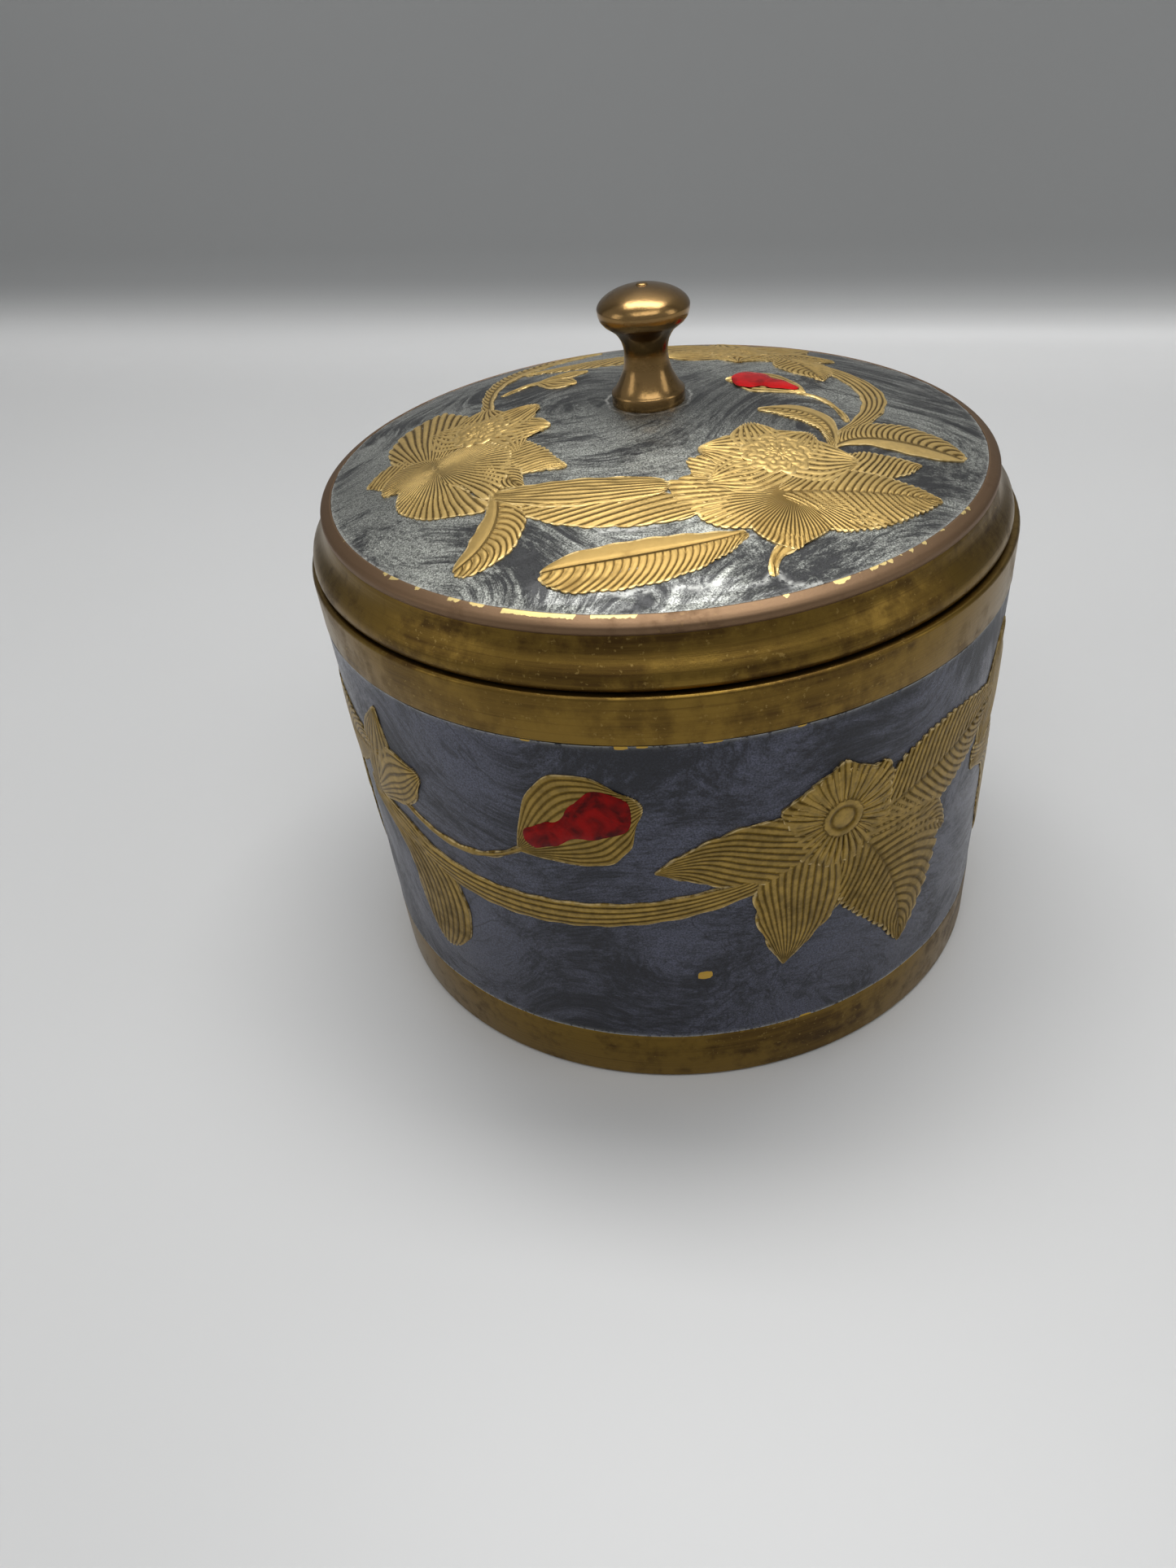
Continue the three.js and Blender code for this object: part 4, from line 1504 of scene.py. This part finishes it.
@dataclass
class BoxLid:
    """The lid: turned brass, domed enamel, scroll, red drop and knob.

    Profiles are radius and height above the lid's lower edge. A fleck is a degree round the ring
    and a strength, and a glint is a short pale stroke painted into the enamel as a highlight, in plan.
    """

    finishes: Finishes
    dome: LidDome = field(default_factory=LidDome)
    sides: int = 144
    fine_sides: int = 480
    enamel_level: float = -0.14
    ground: float = 0.85
    thickness: float = 2.4
    cove: tuple[Pair, ...] = (
        (54.45, 9.3), (55.2, 8.8), (56.1, 7.3), (56.35, 6.5), (56.55, 5.7), (56.85, 5.0), (57.3, 4.3),
        (57.85, 3.65), (58.4, 3.0), (58.85, 2.3), (59.05, 1.6), (59.1, 0.9), (59.0, 0.35),
    )
    collar: tuple[Pair, ...] = (
        (58.8, 0.0), (56.5, 0.0), (56.4, -6.0), (54.9, -6.0), (54.9, 1.9), (53.6, 4.6),
    )
    ring: tuple[Pair, ...] = (
        (55.4, 7.0), (56.1, 7.15), (56.42, 7.7), (56.4, 8.55), (55.9, 9.0), (54.55, 9.68),
        (54.35, 9.6), (54.3, 9.0), (55.2, 8.2), (55.4, 7.0),
    )
    knob_stem: tuple[Pair, ...] = (
        (0.0, 18.7), (6.0, 18.7), (6.0, 20.5), (5.95, 20.8), (5.75, 20.95), (5.6, 21.1), (5.3, 21.45),
        (4.85, 22.15), (4.45, 22.9), (4.1, 23.6), (3.85, 24.3), (3.7, 25.0), (3.57, 26.2),
        (3.53, 27.2), (3.62, 27.9), (3.85, 28.8), (4.25, 29.6), (4.85, 30.45), (5.75, 31.15),
        (6.55, 31.75), (7.08, 32.4), (7.33, 33.15), (7.4, 33.95),
    )
    knob_crown: float = 3.37
    knob_tip: tuple[Pair, ...] = ((0.95, 37.38), (0.8, 37.52), (0.45, 37.58), (0.0, 37.58))
    flecks: tuple[Pair, ...] = (
        (-153.0, 0.5), (-137.6, 0.8), (-135.4, 1.0), (-134.6, 0.8), (-129.8, 0.8), (-122.7, 0.9),
        (-121.6, 0.8), (-118.7, 0.8), (-117.4, 0.6), (-99.8, 0.9), (-98.6, 0.95), (-97.5, 0.95),
        (-96.3, 0.85), (-95.1, 0.7), (-94.0, 0.7), (-72.0, 0.9), (-64.0, 0.8), (-63.0, 0.9),
        (-62.0, 0.8), (-60.0, 0.5), (-57.8, 0.7), (-56.8, 0.8), (-55.4, 0.8), (-54.0, 0.8),
        (-52.0, 0.6), (-49.7, 0.7), (-46.5, 0.8), (-41.7, 0.7), (-34.8, 0.8), (-33.0, 0.7),
    )
    worn_patch: Pair = (-113.4, -102.4)
    glints: tuple[tuple[Pair, Pair], ...] = (
        ((15.8, -48.2), (12.6, -50.4)), ((16.0, -48.0), (18.2, -50.4)), ((18.2, -50.4), (22.0, -49.6)),
        ((2.0, -50.4), (8.0, -50.0)), ((-9.0, -49.8), (-2.0, -50.6)), ((9.4, -42.6), (13.6, -41.0)),
        ((-8.0, -38.4), (0.0, -38.2)), ((-27.0, -42.6), (-22.6, -38.0)),
    )

    def build(self) -> None:
        """Builds every piece of the lid."""
        self._shell()
        self._ring()
        self._enamel()
        self._scroll()
        self._knob()

    def _up(self, profile: list[Pair]) -> list[Pair]:
        """Raises a profile from the lid's lower edge to its place."""
        return [(r, z + self.dome.base) for r, z in profile]

    def _shell(self) -> None:
        """The skirt, the cove, the ground under the enamel, the inside and the collar."""
        dome = self.dome
        sunk_radii = np.linspace(0, dome.edge_radius - 0.1, 12)
        sunk = [(float(r), float(dome.height(r)) - self.ground) for r in sunk_radii]
        inside = [(float(r), float(dome.height(r)) - self.thickness) for r in np.linspace(50.5, 0, 12)]
        profile = sunk + list(self.cove) + softened(list(self.collar), 0.2) + inside
        shell = Shell()
        turned(self._up(profile)[::-1], self.sides, shell, (-dome.shift, 0.0))
        thing = shell.build("lid_brass", "root", "brass", self.finishes.cast, 35)
        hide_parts("lid")

    def _ring(self) -> None:
        """The smooth ring round the dome, with its bright flecks."""
        profile = softened(list(self.ring), 0.3)
        profile = profile[:-1] + [profile[0]]
        sides = self.fine_sides
        angle = np.linspace(0, 360, sides, endpoint=False)
        chips = np.zeros(sides)
        for place, strength in self.flecks:
            away = (angle - place + 180) % 360 - 180
            chips = np.maximum(chips, strength * np.exp(-(away / 0.7) ** 2))
        place = (angle + 180) % 360 - 180
        chips[(place > self.worn_patch[0]) & (place < self.worn_patch[1])] = 1.0
        rows = len(profile) - 1
        high = np.array([np.exp(-((r - 54.6) / 0.62) ** 2) * (z > 9.2) for r, z in profile[:rows]])
        shell = Shell()
        turned(self._up(profile), sides, shell, (-self.dome.shift, 0.0))
        shell.values["fleck"] = [(high[:, None] * chips[None, :]).ravel()]
        shell.build("lid_ring", "root", "brass", self.finishes.ring, 50)

    def _enamel(self) -> None:
        """The domed enamel between the knob and the ring."""
        outer = np.linspace(8.4, self.dome.edge_radius - 0.02, 110)
        radii = np.concatenate([np.arange(5.4, 8.4, 0.15), outer])
        angle = np.linspace(0, 2 * math.pi, self.fine_sides, endpoint=False)
        rr, aa = np.meshgrid(radii, angle, indexing="ij")
        x, y = rr * np.cos(aa), rr * np.sin(aa)
        wave = (
            np.sin(x * 0.33 + y * 0.21)
            + np.sin(x * 0.52 - y * 0.61 + 1)
            + np.sin(y * 0.9 + x * 0.14)
        ) / 3
        rim = np.exp(-(self.dome.edge_radius - rr) / 0.6)
        foot = np.exp(-(rr - 6.2) / 0.8)
        drift = y + 2.6 * np.sin(x * 0.11 + 0.4) + 1.1 * np.sin(x * 0.27 + y * 0.12)
        across = x * 0.5 + 1.8 * np.sin(y * 0.21 + 1)
        patch = 0.5 + 0.5 * np.sin(x * 0.23 + 1.3 * np.sin(y * 0.19)) * np.sin(y * 0.31 + 0.7)
        strokes = 0.03 * patch * np.sin(drift * 2.4 + 1.9 * np.sin(across))
        brush = strokes + 0.006 * np.sin(drift * 4.3 + 2 * np.sin(across))
        depth = self.enamel_level + 0.07 * wave + brush + 0.1 * rim - 0.3 * np.clip(foot, 0, 1)
        points = self.dome.place(x.ravel(), y.ravel(), depth.ravel())
        # A pale ragged ring round the knob's foot and a pale rim at the dome's edge.
        ragged = 0.35 * np.sin(aa * 9) + 0.25 * np.sin(aa * 23 + 1)
        round_knob = 0.6 * np.exp(-((rr - 6.9 - ragged * 0.4) / 0.22) ** 2)
        milk = round_knob + 0.4 * np.exp(-(self.dome.edge_radius - rr) / 0.25)
        faces = [face[::-1] for face in grid_faces(len(radii), self.fine_sides, wrap=True)]
        shell = Shell()
        # Painted highlights: short pale glint strokes in the enamel near the front.
        for (x0, y0), (x1, y1) in self.glints:
            along = (x - x0) * (x1 - x0) + (y - y0) * (y1 - y0)
            share = np.clip(along / ((x1 - x0) ** 2 + (y1 - y0) ** 2), 0, 1)
            bent = y - y0 - share * (y1 - y0) - 0.3 * np.sin(share * 9)
            off = np.hypot(x - x0 - share * (x1 - x0), bent)
            milk = np.maximum(milk, np.exp(-(off / 0.36) ** 2))
        # Painted shade: darker towards the back in cloudy patches, and round the knob.
        front = np.clip(-(y + 22) / 18, 0, 1)
        cloudy = 0.6 + 0.4 * np.sin(x * 0.09 + y * 0.13 + 1)
        dim = 0.42 * (1 - front) * cloudy + 0.25 * np.exp(-(rr / 17) ** 4)
        shell.add(points, faces, milk=milk.ravel(), dim=dim.ravel())
        thing = shell.build("lid_enamel_top", "root", "grey_enamel", self.finishes.grey)
        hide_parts("lid_enamel")

    def _scroll(self) -> None:
        """The engraved wreath with its red drop."""
        carver = Carver(self.dome, crown=0.14, vein_depth=0.34, step=0.275, cross_step=0.6, slant_step=0.42)
        shell = Shell()
        for number, leaf in enumerate(LID_LEAVES.values()):
            # Painted shade: leaves towards the front are darkened more, with a little random tone mixed in.
            front = min(1.0, max(0.0, (-leaf.tip[1] - 24) / 22))
            carver.leaf(shell, leaf, 0.8 * front + 0.2 * ((number * 0.37) % 1))
        for rosette in LID_ROSETTES:
            carver.rosette(shell, rosette, 0.25)
        shell.build("lid_scroll", "root", "brass", self.finishes.lid_scroll, 55)
        drops = Shell()
        carver.drop(drops, LID_DROP, 0.2, 0.3)
        thing = drops.build("lid_drop", "root", "red_enamel", self.finishes.lid_red_painted_light)
        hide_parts("lid_bud_enamel")

    def _knob(self) -> None:
        """The turned knob: a flared foot, a thin neck and a flattened bulb."""
        bulb, start = self.knob_stem[-1]
        crown = [
            (bulb * r, start + self.knob_crown * (1 - r ** 1.8) ** (1 / 1.8))
            for r in np.cos(np.linspace(0, math.acos(1.0 / bulb), 14)[1:])
        ]
        profile = list(self.knob_stem) + crown + list(self.knob_tip)
        level = np.array([z for _, z in profile])
        # Painted shade: darkest in the neck under the bulb, weaker under the bulb's lower side.
        dull = np.exp(-((level - 27.8) / 2.6) ** 2) * 0.75 + 0.25 * np.exp(-((level - 31.5) / 1.6) ** 2)
        shell = Shell()
        turned(self._up(profile), self.sides, shell, (-self.dome.shift, 0.0), dull=dull)
        thing = shell.build("knob", "root", "knob_brass", self.finishes.knob, 45)
        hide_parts("lid_knob")


@dataclass
class Studio:
    """The camera, the soft lights, the pale floor and the backdrop.

    The camera looks straight down with its top to the back at 0 degrees. It pans about the
    upright, tilts up from there and then rolls about its own line of sight. The eye is in
    millimetres, and the sweep and the lamps are in metres.
    """

    focal_px: float = 1560.0
    image_width: float = 1445.0
    sensor: float = 36.0
    wall_turn: float = -15.4
    eye: Point = (0.0, -204.73, 175.61)
    pan: float = 4.862
    tilt: float = 53.283
    roll: float = -6.514
    half_width: float = 1.6
    sweep: tuple[Pair, ...] = (
        (-1.2, 0.0), (0.27, 0.0), (0.3, 0.001), (0.315, 0.006), (0.323, 0.016), (0.327, 0.04), (0.34, 1.2),
    )
    pale: tuple[Colour, Colour] = ((0.56, 0.562, 0.56), (0.6, 0.602, 0.6))
    wall: Colour = (0.245, 0.249, 0.249)
    surround: Colour = (0.84, 0.85, 0.86)
    surround_strength: float = 0.42
    lamps: tuple[tuple[str, Point, Point, Pair, float], ...] = (
        ("above", (0.03, 0.16, 0.85), (0.0, 0.0, 0.05), (0.66, 0.26), 4.6),
        ("front", (0.05, -0.5, 0.95), (0.0, -0.15, 0.0), (0.9, 0.4), 2.6),
        ("left side", (-0.85, -0.25, 0.45), (0.0, 0.0, 0.05), (0.3, 0.6), 0.7),
        ("right side", (0.85, -0.25, 0.45), (0.0, 0.0, 0.05), (0.3, 0.6), 0.7),
    )

    def build(self) -> None:
        """Builds the whole studio."""
        self._camera()
        self._floor()
        self._lights()
        bpy.context.scene.view_settings.view_transform = "Standard"

    def _camera(self) -> None:
        """The camera where the photograph was taken."""
        data = bpy.data.cameras.new("view")
        data.sensor_fit = "HORIZONTAL"
        data.sensor_width = self.sensor
        data.lens = self.sensor * self.focal_px / self.image_width
        data.clip_start = 0.01
        camera = bpy.data.objects.new("view", data)
        turn = Matrix.Identity(4)
        for degrees, axis in ((self.pan, "Z"), (self.tilt, "X"), (self.roll, "Z")):
            turn = turn @ Matrix.Rotation(math.radians(degrees), 4, axis)
        camera.matrix_world = Matrix.Translation(Vector(self.eye) * MM) @ turn
        bpy.context.scene.collection.objects.link(camera)
        bpy.context.scene.camera = camera

    def _floor(self) -> None:
        """A pale floor that sweeps up into a darker backdrop."""
        vertices = [(side * self.half_width, y, z) for y, z in self.sweep for side in (-1, 1)]
        faces = [(2 * i, 2 * i + 1, 2 * i + 3, 2 * i + 2) for i in range(len(self.sweep) - 1)]
        mesh = bpy.data.meshes.new("floor")
        mesh.from_pydata(vertices, [], faces)
        mesh.shade_smooth()
        material, board, shader = start_material("pale floor")
        place = board.place()
        pale = board.mix(board.noise(place, 6, 2, 0.5), *self.pale)
        split = board.node("SeparateXYZ")
        board.feed(split.inputs[0], place)
        rise = board.ramp(split.outputs[2], 0.0, 0.03)
        board.feed(shader.inputs["Base Color"], board.mix(rise, pale, self.wall))
        shader.inputs["Roughness"].default_value = 0.42
        mesh.materials.append(material)
        floor = bpy.data.objects.new("floor", mesh)
        floor.rotation_euler[2] = math.radians(self.wall_turn)
        bpy.context.scene.collection.objects.link(floor)

    @staticmethod
    def _lamp(name: str, place: Point, aim: Point, size: Pair, power: float) -> None:
        """Adds a soft lamp.

        Args:
            name: its name.
            place: where it is, in metres.
            aim: the point that it faces.
            size: its width and depth.
            power: watts.
        """
        data = bpy.data.lights.new(name, "AREA")
        data.shape = "RECTANGLE"
        data.size, data.size_y = size
        data.energy = power
        lamp = bpy.data.objects.new(name, data)
        lamp.location = place
        lamp.rotation_euler = (Vector(aim) - Vector(place)).to_track_quat("-Z", "Y").to_euler()
        bpy.context.scene.collection.objects.link(lamp)

    def _lights(self) -> None:
        """Large lamps above and in front, weaker ones at the sides, and a grey surround."""
        for lamp in self.lamps:
            self._lamp(*lamp)
        world = bpy.data.worlds.new("surround")
        bpy.context.scene.world = world
        world.use_nodes = True
        background = world.node_tree.nodes["Background"]
        background.inputs["Color"].default_value = (*self.surround, 1.0)
        background.inputs["Strength"].default_value = self.surround_strength


def main() -> None:
    """Builds the studio and the box in order."""
    logging.basicConfig(level=logging.INFO, format="%(name)s %(message)s")
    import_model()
    Studio().build()
    finishes = Finishes()
    BoxBody(finishes).build()
    BoxLid(finishes).build()


if __name__ == "__main__":
    main()
